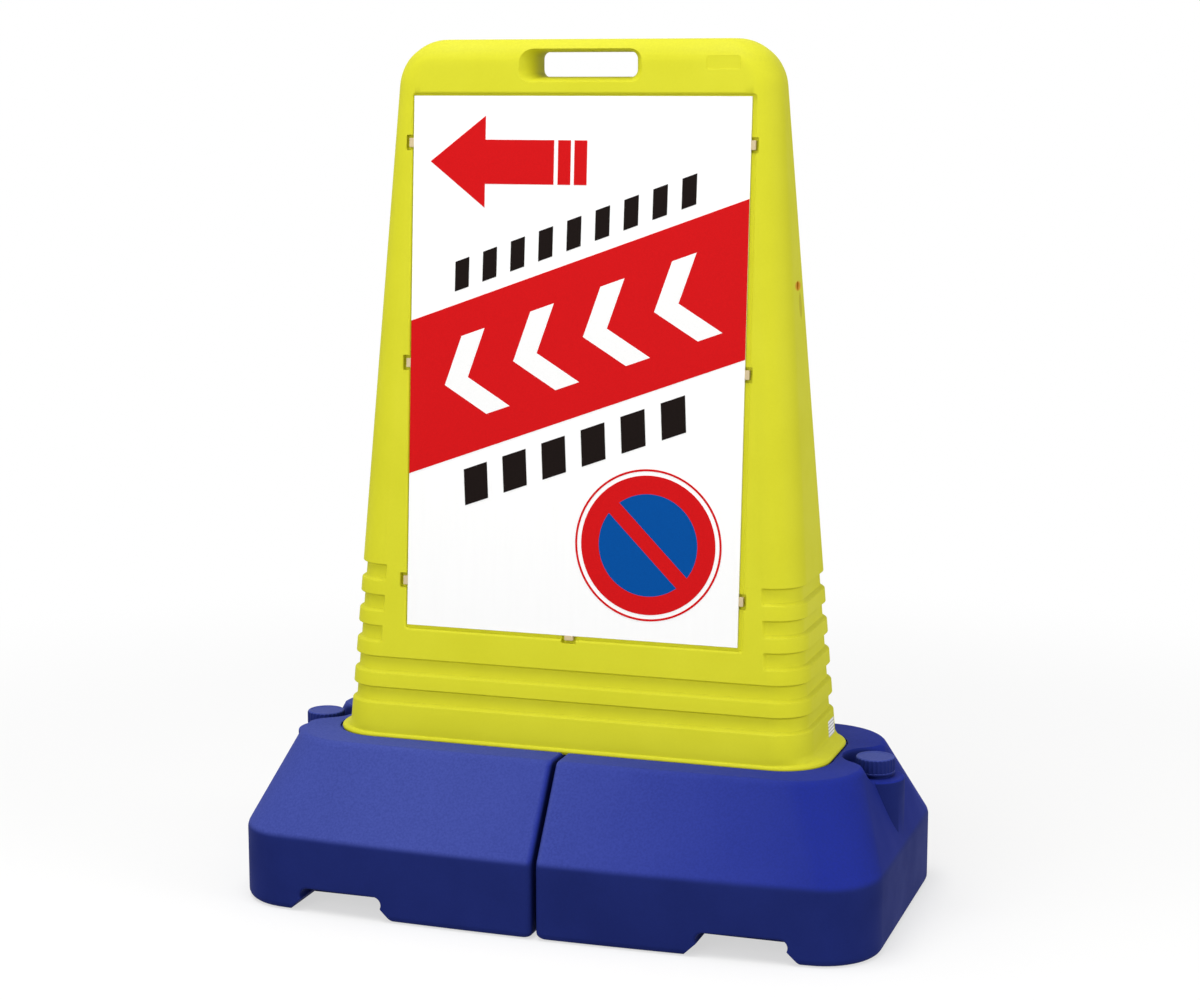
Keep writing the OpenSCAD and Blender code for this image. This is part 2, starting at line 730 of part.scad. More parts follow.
module right_tank_body() {
    color(BLUE)
        difference() {
            union() {
                difference() {
                    union() {
                        skin([tank_ring(0, edge_r * 0.8), tank_ring(edge_r * 0.2, edge_r * 0.35),
                              tank_ring(edge_r), tank_ring(wall_h - edge_r), tank_ring(wall_h, edge_r * 0.1),
                              tank_ring(wall_h + edge_r), tank_ring(deck_z - edge_r * 0.7),
                              tank_ring(deck_z - edge_r * 0.2, edge_r * 0.12), tank_ring(deck_z, edge_r * 0.5)]);
                        translate([filler_x, 0, wall_h / 2])
                            cylinder(r = boss_r, h = boss_z - wall_h / 2, $fn = 96);
                    }
                    pocket();
                }
                translate([filler_x, 0, boss_z - tank_t])
                    cylinder(r = neck_r, h = neck_h + tank_t, $fn = 96);
                translate([filler_x, 0, 0])
                    thread(neck_r, neck_r + thread_d, thread_low_z, thread_steps);
            }
            tower_room(tank_gap);
            notches(0);
            tank_hollow();
            translate([filler_x, 0, boss_z - 2 * tank_t])
                cylinder(r = bore_r, h = neck_h + 2 * tank_t + over, $fn = 96);
        }
}

module seal_body() {
    color(SEAL_GREY)
        translate([filler_x, 0, neck_top_z])
            difference() {
                cylinder(r = neck_r, h = seal_t, $fn = 96);
                translate([0, 0, -over]) cylinder(r = neck_r - seal_w, h = seal_t + 2 * over, $fn = 96);
            }
}

module cap_body() {
    drum_r = cap_r - rib_d;
    color(BLUE)
        translate([filler_x, 0, 0]) {
            difference() {
                union() {
                    translate([0, 0, cap_rim_z]) cylinder(r = drum_r, h = cap_top_z - cap_rim_z, $fn = 96);
                    for (i = [0 : CAP_RIBS - 1])
                        rotate([0, 0, 360 * i / CAP_RIBS])
                            translate([drum_r - rib_d, -rib_w / 2, cap_rim_z + rib_d])
                                cube([2 * rib_d, rib_w, cap_top_z - cap_rim_z - 2 * rib_d]);
                }
                translate([0, 0, cap_rim_z - over])
                    cylinder(r = cap_bore_r, h = neck_top_z + seal_t - cap_rim_z + over, $fn = 96);
                translate([0, 0, cap_top_z - cap_dish])
                    cylinder(r = drum_r - cap_dish_rim, h = cap_dish + over, $fn = 96);
            }
            thread(cap_bore_r, cap_bore_r - thread_d, thread_low_z + thread_pitch / 2, thread_steps);
        }
}

// The left side is the right side turned half round, so its thread keeps its hand
module on_left() {
    rotate([0, 0, 180]) children();
}

tower_shell();
side_label();
panel(0);  // front_panel
clips(0);  // front_clips
arrow(0);  // front_arrow
band(0);  // front_band
chevrons(0);  // front_chevrons
dashes(0);  // front_dashes
ring(0);  // front_ring
disc(0);  // front_disc
panel(180);  // back_panel
clips(180);  // back_clips
arrow(180);  // back_arrow
band(180);  // back_band
chevrons(180);  // back_chevrons
dashes(180);  // back_dashes
ring(180);  // back_ring
disc(180);  // back_disc
on_left() right_tank_body();  // left_tank
on_left() seal_body();  // left_seal
on_left() cap_body();  // left_cap
right_tank_body();  // right_tank
seal_body();  // right_seal
cap_body();  // right_cap
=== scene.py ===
"""Dresses the freestanding sign: moulded tower, ballast base, filler caps, panels and studio.

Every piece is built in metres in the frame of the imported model. The front faces -Y, +X is right, +Z up.
"""

import math

import bmesh
import bpy
from bpy.props import FloatProperty, FloatVectorProperty, IntProperty, PointerProperty
from mathutils import Matrix, Vector


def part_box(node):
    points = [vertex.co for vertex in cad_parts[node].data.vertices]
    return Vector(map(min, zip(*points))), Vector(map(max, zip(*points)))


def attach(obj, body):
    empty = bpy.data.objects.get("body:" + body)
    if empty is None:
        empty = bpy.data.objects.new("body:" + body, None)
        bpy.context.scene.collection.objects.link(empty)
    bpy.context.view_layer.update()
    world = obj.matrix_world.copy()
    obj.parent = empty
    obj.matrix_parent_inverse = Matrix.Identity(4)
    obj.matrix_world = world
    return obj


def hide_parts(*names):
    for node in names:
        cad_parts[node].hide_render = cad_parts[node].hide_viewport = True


bl_info = {
    "name": "Freestanding Sign",
    "version": (1, 0, 0),
    "blender": (4, 5, 0),
    "location": "View3D > Sidebar > Sign",
    "description": "Builds a hollow moulded sign on a split ballast base, with its studio",
    "category": "Object",
}

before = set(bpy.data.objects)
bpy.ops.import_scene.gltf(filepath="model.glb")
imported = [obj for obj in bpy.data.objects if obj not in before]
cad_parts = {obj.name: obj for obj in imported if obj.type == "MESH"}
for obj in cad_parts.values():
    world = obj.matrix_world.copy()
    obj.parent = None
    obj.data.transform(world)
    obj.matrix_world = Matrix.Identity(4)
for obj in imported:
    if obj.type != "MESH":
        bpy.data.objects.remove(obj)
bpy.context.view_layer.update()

MM = 0.001
TOWER_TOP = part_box("tower_shell")[1]
PANEL_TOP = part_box("front_panel")[1]
TANK_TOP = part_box("right_tank")[1]
CAP_LOW, CAP_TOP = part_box("right_cap")
SEAL_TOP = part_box("right_seal")[1]


def linear(code):
    """An sRGB hex colour as linear red, green and blue."""
    parts = [int(code[i : i + 2], 16) / 255 for i in (1, 3, 5)]
    return tuple(c / 12.92 if c <= 0.04045 else ((c + 0.055) / 1.055) ** 2.4 for c in parts)


# Sizes and colours


def length(name, description, default):
    """A property for a length in metres."""
    return FloatProperty(name=name, description=description, default=default, unit="LENGTH")


def mm(name, description, size):
    """A property for a length that is given in mm."""
    return length(name, description, size * MM)


def number(name, description, default):
    """A property for a plain number."""
    return FloatProperty(name=name, description=description, default=default)


def count(name, description, default):
    """A property for how many of something there are."""
    return IntProperty(name=name, description=description, default=default)


def angle(name, description, degrees):
    """A property for an angle that is given in degrees."""
    return FloatProperty(name=name, description=description, default=math.radians(degrees), subtype="ANGLE")


def tint(name, description, code):
    """A property for a colour, from its hex code."""
    return FloatVectorProperty(name=name, description=description, subtype="COLOR", default=linear(code),
                               min=0, max=1)


class SignTower(bpy.types.PropertyGroup):
    """Sizes of the yellow tower."""

    height: length("Height", "From the floor to the crown", TOWER_TOP.z)
    crown_w: mm("Crown width", "At the very top, before the corners", 401)
    crown_d: mm("Crown depth", "At the very top, before the edges", 64)
    corner_low: mm("Lower corner radius", "Plan radius of the corners, low down", 38)
    corner_top: mm("Upper corner radius", "Plan radius of the corners, at the top", 29)
    shoulder: mm("Shoulder radius", "Radius of the two top corners, from the front", 46)
    crown_r: mm("Crown rounding", "Rounding over the top, from the side", 22)
    lip_half_w: length("Lip half width", "Half width of the lip on the base", TOWER_TOP.x)
    lip_half_d: mm("Lip half depth", "Half depth of the lip on the base", 84)
    lip_r: mm("Lip radius", "Plan radius of the lip's corners", 52)
    lip_t: mm("Lip thickness", "Thickness of the lip", 6)
    lip_end: mm("Lip at the ends", "Overhang of the lip at the two ends", 13.5)
    lip_face: mm("Lip at the faces", "Overhang of the lip at the two faces", 2)
    lip_sink: mm("Lip sink", "How deep the lip lies in the base", 3)
    lip_fillet: mm("Lip fillet", "Height of the fillet from the lip to the wall", 7)
    stem_half_w: mm("Stem half width", "Half width of the stem inside the base", 238)
    stem_half_d: mm("Stem half depth", "Half depth of the stem inside the base", 70)
    stem_r: mm("Stem radius", "Plan radius of the stem's corners", 36)
    foot_out: mm("Foot spread", "How far the foot spreads beyond the stem", 20)
    foot_t: mm("Foot thickness", "Thickness of the foot", 9)
    foot_ramp: mm("Foot slope", "Height of the slope from the foot to the stem", 7)
    groove_z: mm("Groove height", "Upper edge of the topmost groove", 350)
    groove_pitch: mm("Groove pitch", "From one groove to the next", 32.4)
    groove_h: mm("Groove size", "Height of a groove", 19)
    groove_d: mm("Groove depth", "Depth of a groove", 4.3)
    groove_upper: mm("Upper ramp", "Slope at a groove's upper edge", 3)
    groove_lower: mm("Lower ramp", "Slope at a groove's lower edge", 4)
    groove_stop: mm("Groove end", "Length over which a short groove runs out", 3.5)
    grooves: count("Grooves", "Number of grooves", 5)
    full_grooves: count("Full grooves", "Grooves that run across the faces", 2)


class SignFace(bpy.types.PropertyGroup):
    """Sizes of the openings, recesses and small things on the faces."""

    slot_w: mm("Hand hole width", "Width in the middle of the wall", 107)
    slot_h: mm("Hand hole height", "Height in the middle of the wall", 24.5)
    slot_r: mm("Hand hole radius", "Corner radius of the hand hole", 7)
    slot_flare_w: mm("Hand hole flare, sideways", "Widening to each side at the faces", 11.5)
    slot_flare_h: mm("Hand hole flare, upward", "Widening up and down at the faces", 5)
    slot_bar: mm("Carrying bar", "Height of the bar above the hand hole", 13)
    panel_half_w: length("Panel half width", "Half width of the panel", PANEL_TOP.x)
    panel_z: mm("Panel foot", "Height of the panel's lower edge", 288)
    panel_rail: mm("Panel rail", "Height of the rail between panel and hand hole", 19)
    panel_t: mm("Panel thickness", "Thickness of the panel", 2.5)
    panel_gap: mm("Panel gap", "Gap between the panel and its recess", 3)
    panel_slip: mm("Panel slip", "How far the panel lies to the left in its recess", 2)
    panel_lift: mm("Panel lift", "How far the panel lies up in its recess", 1)
    recess_d: mm("Recess depth", "Depth of the panel's recess", 4)
    recess_bevel: mm("Recess edge", "Rounding of the recess's edge", 2.4)
    recess_r: mm("Recess corner", "Corner radius of the recess", 3)
    clip_l: mm("Clip length", "Length of a clip along the panel's edge", 9.5)
    clip_w: mm("Clip width", "Width of a clip outward from the panel", 5)
    clip_deep: mm("Clip depth", "How far a clip reaches below the recess", 1.8)
    clip_gap: mm("Clip gap", "Free space beside a clip", 3)
    clip_under: mm("Clip clearance", "Free space under a clip", 0.8)
    badge_w: mm("Bare field width", "Width of the field by the hand hole", 35)
    badge_h: mm("Bare field height", "Height of the field by the hand hole", 14)
    badge_deep: mm("Bare field depth", "Depth of the field by the hand hole", 0.7)
    vent_z: mm("Vent height", "Height of the vent hole in the right end", 646)
    vent_r: mm("Vent radius", "Radius of the vent hole", 4.5)
    seam_y: mm("Seam place", "How far the seam lies behind the vent hole", 6)
    seam_l: mm("Seam length", "Length of the seam below the vent hole", 27)


class SignBase(bpy.types.PropertyGroup):
    """Sizes of the blue ballast base."""

    half_w: length("Half width", "Half width at the floor", TANK_TOP.x)
    half_d: length("Half depth", "Half depth at the floor", TANK_TOP.y)
    deck_z: length("Deck height", "Height of the flat top", TANK_TOP.z)
    slope_end: mm("End slope", "Run of the slope at each end", 36)
    slope_face: mm("Face slope", "Run of the slope at each face", 65)
    wall_h: mm("Wall height", "Height of the upright wall", 78)
    wall_r: mm("Wall radius", "Plan radius of the wall's corners", 62)
    deck_r: mm("Deck radius", "Plan radius of the flat top's corners", 69)
    bow: mm("Bow", "Bow of the long walls", 10)
    split_gap: mm("Split gap", "Gap between the two tanks", 4.4)
    split_r: mm("Split rounding", "Rounding of the upright edges at the split", 6)
    sole_r: mm("Sole rounding", "Rounding of the edge round the sole", 8)
    break_r: mm("Break blend", "Blend between the wall and the slope", 4)
    deck_edge: mm("Deck blend", "Blend between the slope and the flat top", 5)
    gap: mm("Tower gap", "Free space between the tanks and the tower", 2)
    notch_w: mm("Notch width", "Width of a finger notch at the floor", 118)
    notch_h: mm("Notch height", "Height of a finger notch", 25)
    notch_draft: mm("Notch draft", "How much narrower a notch is at its top, per side", 13)
    notch_deep: mm("Notch reach", "How far a notch reaches in", 74)
    notch_x: mm("Notch place", "Distance of a notch from the end of the base", 127)
    notch_r: mm("Notch corner", "Corner radius of a notch", 8)
    notch_edge: mm("Notch edge", "Rounding of a notch's edge on the wall", 2.5)


class SignFiller(bpy.types.PropertyGroup):
    """Sizes of the fillers and their caps."""

    x: length("Filler place", "From the middle to the filler's axis", (CAP_LOW.x + CAP_TOP.x) / 2)
    boss_r: mm("Boss radius", "Radius of the upright boss", 30.5)
    boss_sink: mm("Boss depth", "Depth of the boss's top below the deck", 19.5)
    boss_edge: mm("Boss edge", "Rounding of the boss's top edge", 2.5)
    pocket_r: mm("Pocket radius", "Radius of the pocket round the cap", 33)
    pocket_flare: mm("Pocket flare", "Plan radius where the pocket opens at the deck", 34)
    neck_r: mm("Neck radius", "Outer radius of the neck", 16.5)
    neck_h: mm("Neck height", "Height of the neck above the boss", 16)
    bore_r: mm("Bore radius", "Radius of the filler's bore", 13)
    cap_r: length("Cap radius", "Radius of the cap over its ribs", (CAP_TOP.x - CAP_LOW.x) / 2)
    cap_bore: mm("Cap bore", "Bore radius of the cap", 18.1)
    cap_top: length("Cap top", "Height of the cap's top", CAP_TOP.z)
    cap_rim: length("Cap rim", "Height of the cap's lower edge", CAP_LOW.z)
    rib_d: mm("Rib depth", "Height of a rib on the cap", 0.8)
    ribs: count("Ribs", "Number of ribs round a cap", 28)
    thread_pitch: mm("Thread pitch", "Pitch of the thread", 7)
    thread_d: mm("Thread depth", "From the thread's root to its crest", 1.2)
    thread_w: mm("Thread width", "Width of the thread at its root", 2)


class SignColours(bpy.types.PropertyGroup):
    """Colours of the sign."""

    yellow: tint("Yellow", "Moulded tower", "#DAD821")
    blue: tint("Blue", "Moulded base and caps", "#1B286E")
    # Painted light: pale blue painted on the base's upward faces towards the left, and on the caps' upward
    # faces, as a painted highlight
    painted_top_light: tint("Bloom", "Blue where weather has made it chalky", "#4A57AC")
    # Painted light: deeper blue painted on the base's upward faces towards the right, for the stronger
    # light from above
    clear: tint("Clear blue", "Blue of the upper faces that kept their gloss", "#1C2B95")
    # Painted shade: the brown stands in for the shade in the vent hole and the glow of light through its
    # thin wall
    vent: tint("Vent shade", "Brown shade in and beside the vent hole", "#DC9412")
    # A darker olive band along the open parting line below the vent hole
    darker_seam_band: tint("Grime", "Dirt along the open parting line", "#BEB400")
    white: tint("White", "Message panel", "#FEFEFD")
    red: tint("Red", "Printed band, arrow and ring", "#D71418")
    sign_blue: tint("Sign blue", "Printed disc", "#0050A0")
    black: tint("Black", "Printed dashes", "#1A1210")
    # Painted shade: the off-white clips are coloured a darker tan for the shade they sit in
    clip: tint("Clip", "Panel clips", "#D2BE92")
    seal: tint("Seal", "Rubber seals", "#1C1C1E")


class SignStage(bpy.types.PropertyGroup):
    """Camera, floor and lights."""

    camera: FloatVectorProperty(name="Camera", description="Where the camera stands",
                                subtype="TRANSLATION", default=(0.805, -2.4264, 0.8465), unit="LENGTH")
    pitch: angle("Pitch", "Camera angle up from straight down", 80.47)
    yaw: angle("Yaw", "Camera angle round the upright axis", 18.14)
    lens: number("Lens", "Focal length in mm", 74.58)
    overhead: number("Overhead lamp", "Power of the overhead softbox in W", 51)
    front: number("Front lamp", "Power of the front softbox in W", 39)
    side: number("Side lamp", "Power of the softbox at the right in W", 34)
    room: number("Room light", "Strength of the even light from all round", 0.46)


# Mesh tools


def put(name, data):
    """A new object with that data, in the scene."""
    obj = bpy.data.objects.new(name, data)
    bpy.context.scene.collection.objects.link(obj)
    return obj


def new_object(name, points, faces):
    """A mesh object from points and faces, with its normals outward."""
    mesh = bpy.data.meshes.new(name)
    mesh.from_pydata([tuple(p) for p in points], [], faces)
    work = bmesh.new()
    work.from_mesh(mesh)
    bmesh.ops.recalc_face_normals(work, faces=work.faces)
    work.to_mesh(mesh)
    work.free()
    return put(name, mesh)


def bands(rings, amount):
    """The points of all rings, and the faces of so many bands between one ring and the next."""
    n, m = len(rings[0]), len(rings)
    points = [p for ring in rings for p in ring]
    faces = [
        (j * n + i, j * n + (i + 1) % n, (j + 1) % m * n + (i + 1) % n, (j + 1) % m * n + i)
        for j in range(amount)
        for i in range(n)
    ]
    return points, faces


def skin(name, rings):
    """A surface through rings of equally many points, with flat ends."""
    n, last = len(rings[0]), len(rings) - 1
    points, faces = bands(rings, last)
    faces += [tuple(reversed(range(n))), tuple(range(last * n, last * n + n))]
    return new_object(name, points, faces)


def loop(name, rings):
    """A surface through rings that ends where it starts."""
    return new_object(name, *bands(rings, len(rings)))


def bake(obj):
    """Makes the object's modifiers part of its mesh."""
    graph = bpy.context.evaluated_depsgraph_get()
    mesh = bpy.data.meshes.new_from_object(obj.evaluated_get(graph))
    obj.modifiers.clear()
    obj.data = mesh


def carve(body, tool, operation="DIFFERENCE"):
    """Cuts the tool from the body, or joins it on, and drops the tool."""
    step = body.modifiers.new("carve", "BOOLEAN")
    step.operation = operation
    step.solver = "EXACT"
    step.object = tool
    bake(body)
    bpy.data.objects.remove(tool)


def move(obj, matrix):
    """Moves the mesh itself, so that the object stays at the origin."""
    obj.data.transform(matrix)
    return obj


def join(name, parts):
    """One object from several."""
    work = bmesh.new()
    for part in parts:
        work.from_mesh(part.data)
        bpy.data.objects.remove(part)
    mesh = bpy.data.meshes.new(name)
    work.to_mesh(mesh)
    work.free()
    return put(name, mesh)


def soften(obj):
    """Smooth shading, with creases over 32 degrees, and flats that stay flat."""
    crease, weld = math.radians(32), 0.005 * MM
    work = bmesh.new()
    work.from_mesh(obj.data)
    bmesh.ops.remove_doubles(work, verts=work.verts, dist=weld)
    work.to_mesh(obj.data)
    work.free()
    obj.data.shade_smooth()
    obj.data.set_sharp_from_angle(angle=crease)
    weigh = obj.modifiers.new("weigh normals", "WEIGHTED_NORMAL")
    weigh.keep_sharp = True


def dress(obj, body, slot, material, *nodes):
    """Gives a piece its finish, the body that it rides on and the nodes that it stands for."""
    obj.data.materials.clear()
    obj.data.materials.append(material)
    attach(obj, body)
    if nodes:
        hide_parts(*nodes)


def coat(node, material):
    """Gives a node of the frame its material."""
    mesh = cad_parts[node].data
    mesh.materials.clear()
    mesh.materials.append(material)


# Outlines and curves

# (side in x, side in y, angle where its arc starts) of the four corners of an outline
CORNERS = ((1, 1, 0), (-1, 1, 90), (-1, -1, 180), (1, -1, 270))


def arc(cx, cy, r, start, stop, steps):
    """Points of an arc with their outward directions, both ends included."""
    angles = [math.radians(start + (stop - start) * i / steps) for i in range(steps + 1)]
    return [(cx + r * math.cos(a), cy + r * math.sin(a), math.cos(a), math.sin(a)) for a in angles]


def circle(r, steps):
    """Points of a full circle about the origin, with their outward directions."""
    return arc(0, 0, r, 0, 360 - 360 / steps, steps - 1)


def round_box(w, d, r, steps=8):
    """Outline of a rectangle of half sizes w and d with round corners."""
    return [p for x, y, turn in CORNERS for p in arc(x * (w - r), y * (d - r), r, turn, turn + 90, steps)]


def at(outline, z, grow=0.0, shift=(0.0, 0.0)):
    """Lifts an outline to height z, grown and shifted."""
    return [(x + nx * grow + shift[0], y + ny * grow + shift[1], z) for x, y, nx, ny in outline]


def ease(t):
    """A soft step from 0 to 1."""
    t = min(1.0, max(0.0, t))
    return 0.5 - 0.5 * math.cos(math.pi * t)


def rounding(steps):
    """(share cut off beside an edge, share cut off its height) along its rounding, from side to top."""
    angles = [math.radians(90 * k / steps) for k in range(steps + 1)]
    return [(1 - math.cos(a), 1 - math.sin(a)) for a in angles]


def edge_flare(r):
    """(depth below the surface, widening) along the rounded edge of a hole, and past the surface."""
    last = math.radians(78)
    steps = 5
    out = []
    for i in range(steps + 1):
        a = last * i / steps
        out.append((r - r * math.sin(a), r - r * math.cos(a)))
    rise = out[-1][0] + r
    out.append((-r, out[-1][1] + rise * math.tan(last)))
    return out


# Tower


def lip_low(scene):
    """Height of the lip's lower side."""
    return scene.sign_base.deck_z - scene.sign_tower.lip_sink


def lip_top(scene):
    """Height where the lip ends and the tower's wall starts."""
    return lip_low(scene) + scene.sign_tower.lip_t


def wall_at(scene, z):
    """(half width, half depth, plan radius) of the tower's plain wall at height z."""
    t = scene.sign_tower
    share = (z - lip_top(scene)) / (t.height - lip_top(scene))
    ends = ((t.lip_half_w - t.lip_end, t.crown_w / 2), (t.lip_half_d - t.lip_face, t.crown_d / 2),
            (t.corner_low, t.corner_top))
    return [low + (top - low) * share for low, top in ends]


def face_tilt(scene):
    """How far the broad faces lean back."""
    t = scene.sign_tower
    run = t.lip_half_d - t.lip_face - t.crown_d / 2
    return math.atan(run / (t.height - lip_top(scene)))


def tower_ring(scene, z, w, d, r, sink=0.0, full=True):
    """A ring of the tower. sink draws it in, on the broad faces only where full says so."""
    stop = scene.sign_tower.groove_stop
    run = [stop * k / 4 for k in (1, 2, 3, 4)]
    sides = []
    for sx, sy, turn in CORNERS:
        corner = [(*p, 1.0) for p in arc(sx * (w - r), sy * (d - r), r, turn, turn + 90, 14)]
        face = [(sx * (w - r - x), sy * d, 0.0, sy, 1 - ease(x / stop)) for x in run]
        # Corners at 0 and 180 degrees run into a broad face, those at 90 and 270 come out of one
        sides += corner + face if turn in (0, 180) else list(reversed(face)) + corner
    return [(x - nx * sink * (1 if full else share), y - ny * sink * (1 if full else share), z)
            for x, y, nx, ny, share in sides]


def wall_ring(scene, z, sink=0.0, full=True):
    """A ring of the tower's plain wall."""
    return tower_ring(scene, z, *wall_at(scene, z), sink, full)


def groove_rings(scene, index):
    """The rings of one groove, from its lower to its upper edge."""
    t = scene.sign_tower
    top = t.groove_z - index * t.groove_pitch
    low = top - t.groove_h
    full = index >= t.grooves - t.full_grooves
    shares = [k / 6 for k in range(7)]
    rings = [wall_ring(scene, low + t.groove_lower * k, t.groove_d * ease(k), full) for k in shares]
    return rings + [wall_ring(scene, top - t.groove_upper * (1 - k), t.groove_d * ease(1 - k), full)
                    for k in shares]


def crown_rings(scene):
    """The rings of the rounded top."""
    t = scene.sign_tower
    rings = []
    for cut, share in rounding(16):
        drop = t.shoulder * share
        z = t.height - drop
        w, d, r = wall_at(scene, z)
        reach = max(0.0, t.crown_r - drop)
        d = d - t.crown_r + math.sqrt(t.crown_r**2 - reach**2)
        rings.append(tower_ring(scene, z, w - t.shoulder * cut, d, min(r, d * 0.98)))
    return rings


def foot_rings(scene):
    """The rings of the foot, the stem and the lip."""
    t = scene.sign_tower
    low, top = lip_low(scene), lip_top(scene)
    stem = (t.stem_half_w, t.stem_half_d, t.stem_r)
    foot = [size + t.foot_out for size in stem]
    lip = (t.lip_half_w, t.lip_half_d, t.lip_r)
    chamfer = t.foot_t / 4
    nose = t.lip_t / 2
    rings = [
        tower_ring(scene, 0, *foot, chamfer),
        tower_ring(scene, chamfer, *foot),
        tower_ring(scene, t.foot_t - chamfer, *foot),
        tower_ring(scene, t.foot_t + t.foot_ramp, *stem),
        tower_ring(scene, low, *stem),
        tower_ring(scene, low, *lip, nose / 2),
    ]
    # A round nose on the lip, from 60 degrees below its middle to 80 above
    for k in range(7):
        a = math.radians(-60 + 140 * k / 6)
        rings.append(tower_ring(scene, low + nose + nose * math.sin(a), *lip, nose * (1 - math.cos(a))))
    # A hollow sweep up into the wall, at the ends only. It starts a little inside the broad faces
    rise, inside, hollow = t.lip_fillet + 2 * MM, 0.5 * MM, 2.2
    for k in range(1, 9):
        out = (1 - k / 8) ** hollow
        z = top + rise * k / 8
        w, d, r = wall_at(scene, z)
        rings.append(tower_ring(scene, z, w + (t.lip_end - nose) * out, d - inside * out,
                                r + (t.lip_r - t.corner_low) * out))
    return rings


def face_frame(scene, turn):
    """Puts x right, y up the face and z out of it, from the panel's lower middle."""
    z = scene.sign_face.panel_z
    return (
        Matrix.Rotation(math.radians(turn), 4, "Z")
        @ Matrix.Translation((0, -wall_at(scene, z)[1], z))
        @ Matrix.Rotation(math.radians(90) - face_tilt(scene), 4, "X")
    )


def slot_z(scene):
    """Height of the hand hole's middle."""
    f = scene.sign_face
    return scene.sign_tower.height - f.slot_bar - f.slot_h / 2


def panel_height(scene):
    """Height of the panel, measured along the face."""
    f = scene.sign_face
    return (slot_z(scene) - f.slot_h / 2 - f.panel_rail - f.panel_z) / math.cos(face_tilt(scene))


def clip_places(scene):
    """(middle of the clip on the panel's edge, turn about the face) for each clip."""
    f = scene.sign_face
    # Low, halfway and high on the upright edges, and one in the middle of the lower edge
    heights = [panel_height(scene) * share for share in (0.085, 0.5, 0.913)]
    left = [((-f.panel_half_w, y), 180) for y in heights]
    right = [((f.panel_half_w, y), 0) for y in heights]
    return left + right + [((0.0, 0.0), -90)]


def place_on_face(scene, turn, spot, angle):
    """Puts a thing on the recess's floor at a spot of the panel's edge, with x pointing outward."""
    return (
        face_frame(scene, turn)
        @ Matrix.Translation((spot[0], spot[1], -scene.sign_face.recess_d))
        @ Matrix.Rotation(math.radians(angle), 4, "Z")
    )


def recess_tool(scene, turn):
    """What is cut for the panel: a shallow tray with a soft edge."""
    f = scene.sign_face
    h = panel_height(scene)
    outline = round_box(f.panel_half_w + f.panel_gap, h / 2 + f.panel_gap, f.recess_r)
    middle = (f.panel_slip, h / 2 - f.panel_lift)
    rings = [at(outline, -f.recess_d, 0, middle)]
    rings += [at(outline, -depth, wide, middle) for depth, wide in edge_flare(f.recess_bevel)]
    return move(skin("recess tool", rings), face_frame(scene, turn))


def clip_notch_tool(scene, turn, spot, angle):
    """What is cut for one clip."""
    f = scene.sign_face
    reach = f.clip_w + f.clip_gap + f.panel_gap
    outline = round_box(reach / 2, f.clip_l / 2 + f.clip_gap, 1.2 * MM, 4)
    shift = (f.clip_w + f.clip_gap - reach / 2, 0)
    # (height, widening): straight walls that flare where they leave the face
    steps = ((-f.clip_deep - f.clip_under, 0), (f.recess_d - 1 * MM, 0),
             (f.recess_d + 0.3 * MM, 0.5 * MM), (3 * f.recess_d, 2 * MM))
    rings = [at(outline, z, wide, shift) for z, wide in steps]
    return move(skin("clip notch tool", rings), place_on_face(scene, turn, spot, angle))


def hand_hole_tool(scene):
    """What is cut for the hand hole: narrow in the middle, with trumpet mouths at both faces."""
    f = scene.sign_face
    middle = slot_z(scene)
    half = wall_at(scene, middle)[1]
    bell = 2.6
    rings = []
    # The faces are at step 14 to each side, and the tool goes on past them
    for k in range(-16, 17):
        y = k / 14
        wide = abs(y) ** bell
        outline = round_box(f.slot_w / 2 + f.slot_flare_w * wide, f.slot_h / 2 + f.slot_flare_h * wide,
                            f.slot_r + f.slot_flare_h * wide, 6)
        rings.append([(x, y * half, middle + z) for x, z, _, _ in outline])
    return skin("hand hole tool", rings)


def badge_tool(scene):
    """What is cut for the bare field by the hand hole."""
    f = scene.sign_face
    outline = round_box(f.badge_w / 2, f.badge_h / 2, 2 * MM, 4)
    shift = (f.panel_half_w - f.badge_w * 0.85, panel_height(scene) + f.panel_rail + f.badge_h)
    rings = [at(outline, -f.badge_deep, -0.6 * MM, shift), at(outline, 0, 0, shift),
             at(outline, 2 * MM, 1 * MM, shift)]
    return move(skin("bare field tool", rings), face_frame(scene, 0))


def vent_tool(scene):
    """What is cut for the vent hole in the right end."""
    f = scene.sign_face
    x = wall_at(scene, f.vent_z)[0]
    ring = circle(f.vent_r, 24)
    # (distance from the wall, widening)
    steps = ((-14 * MM, 0), (-0.8 * MM, 0), (0, 0.6 * MM), (3 * MM, 3 * MM))
    rings = [[(x + step, px + nx * wide, f.vent_z + py + ny * wide) for px, py, nx, ny in ring]
             for step, wide in steps]
    return skin("vent tool", rings)


def seam_tool(scene):
    """What is cut for the open stretch of parting line below the vent hole."""
    f = scene.sign_face
    below, past = 2 * MM, 1 * MM
    rings = []
    for share in (0, 0.1, 0.5, 0.9, 1):
        z = f.vent_z - f.vent_r - below - f.seam_l * share
        x = wall_at(scene, z)[0]
        # It runs out at both ends
        deep, half = (0.1 * MM, 0.3 * MM) if share in (0, 1) else (0.4 * MM, 1.4 * MM)
        rings.append([(x + out, f.seam_y + y, z) for out, y in ((-deep, 0), (past, half), (past, -half))])
    return skin("seam tool", rings)


# Base


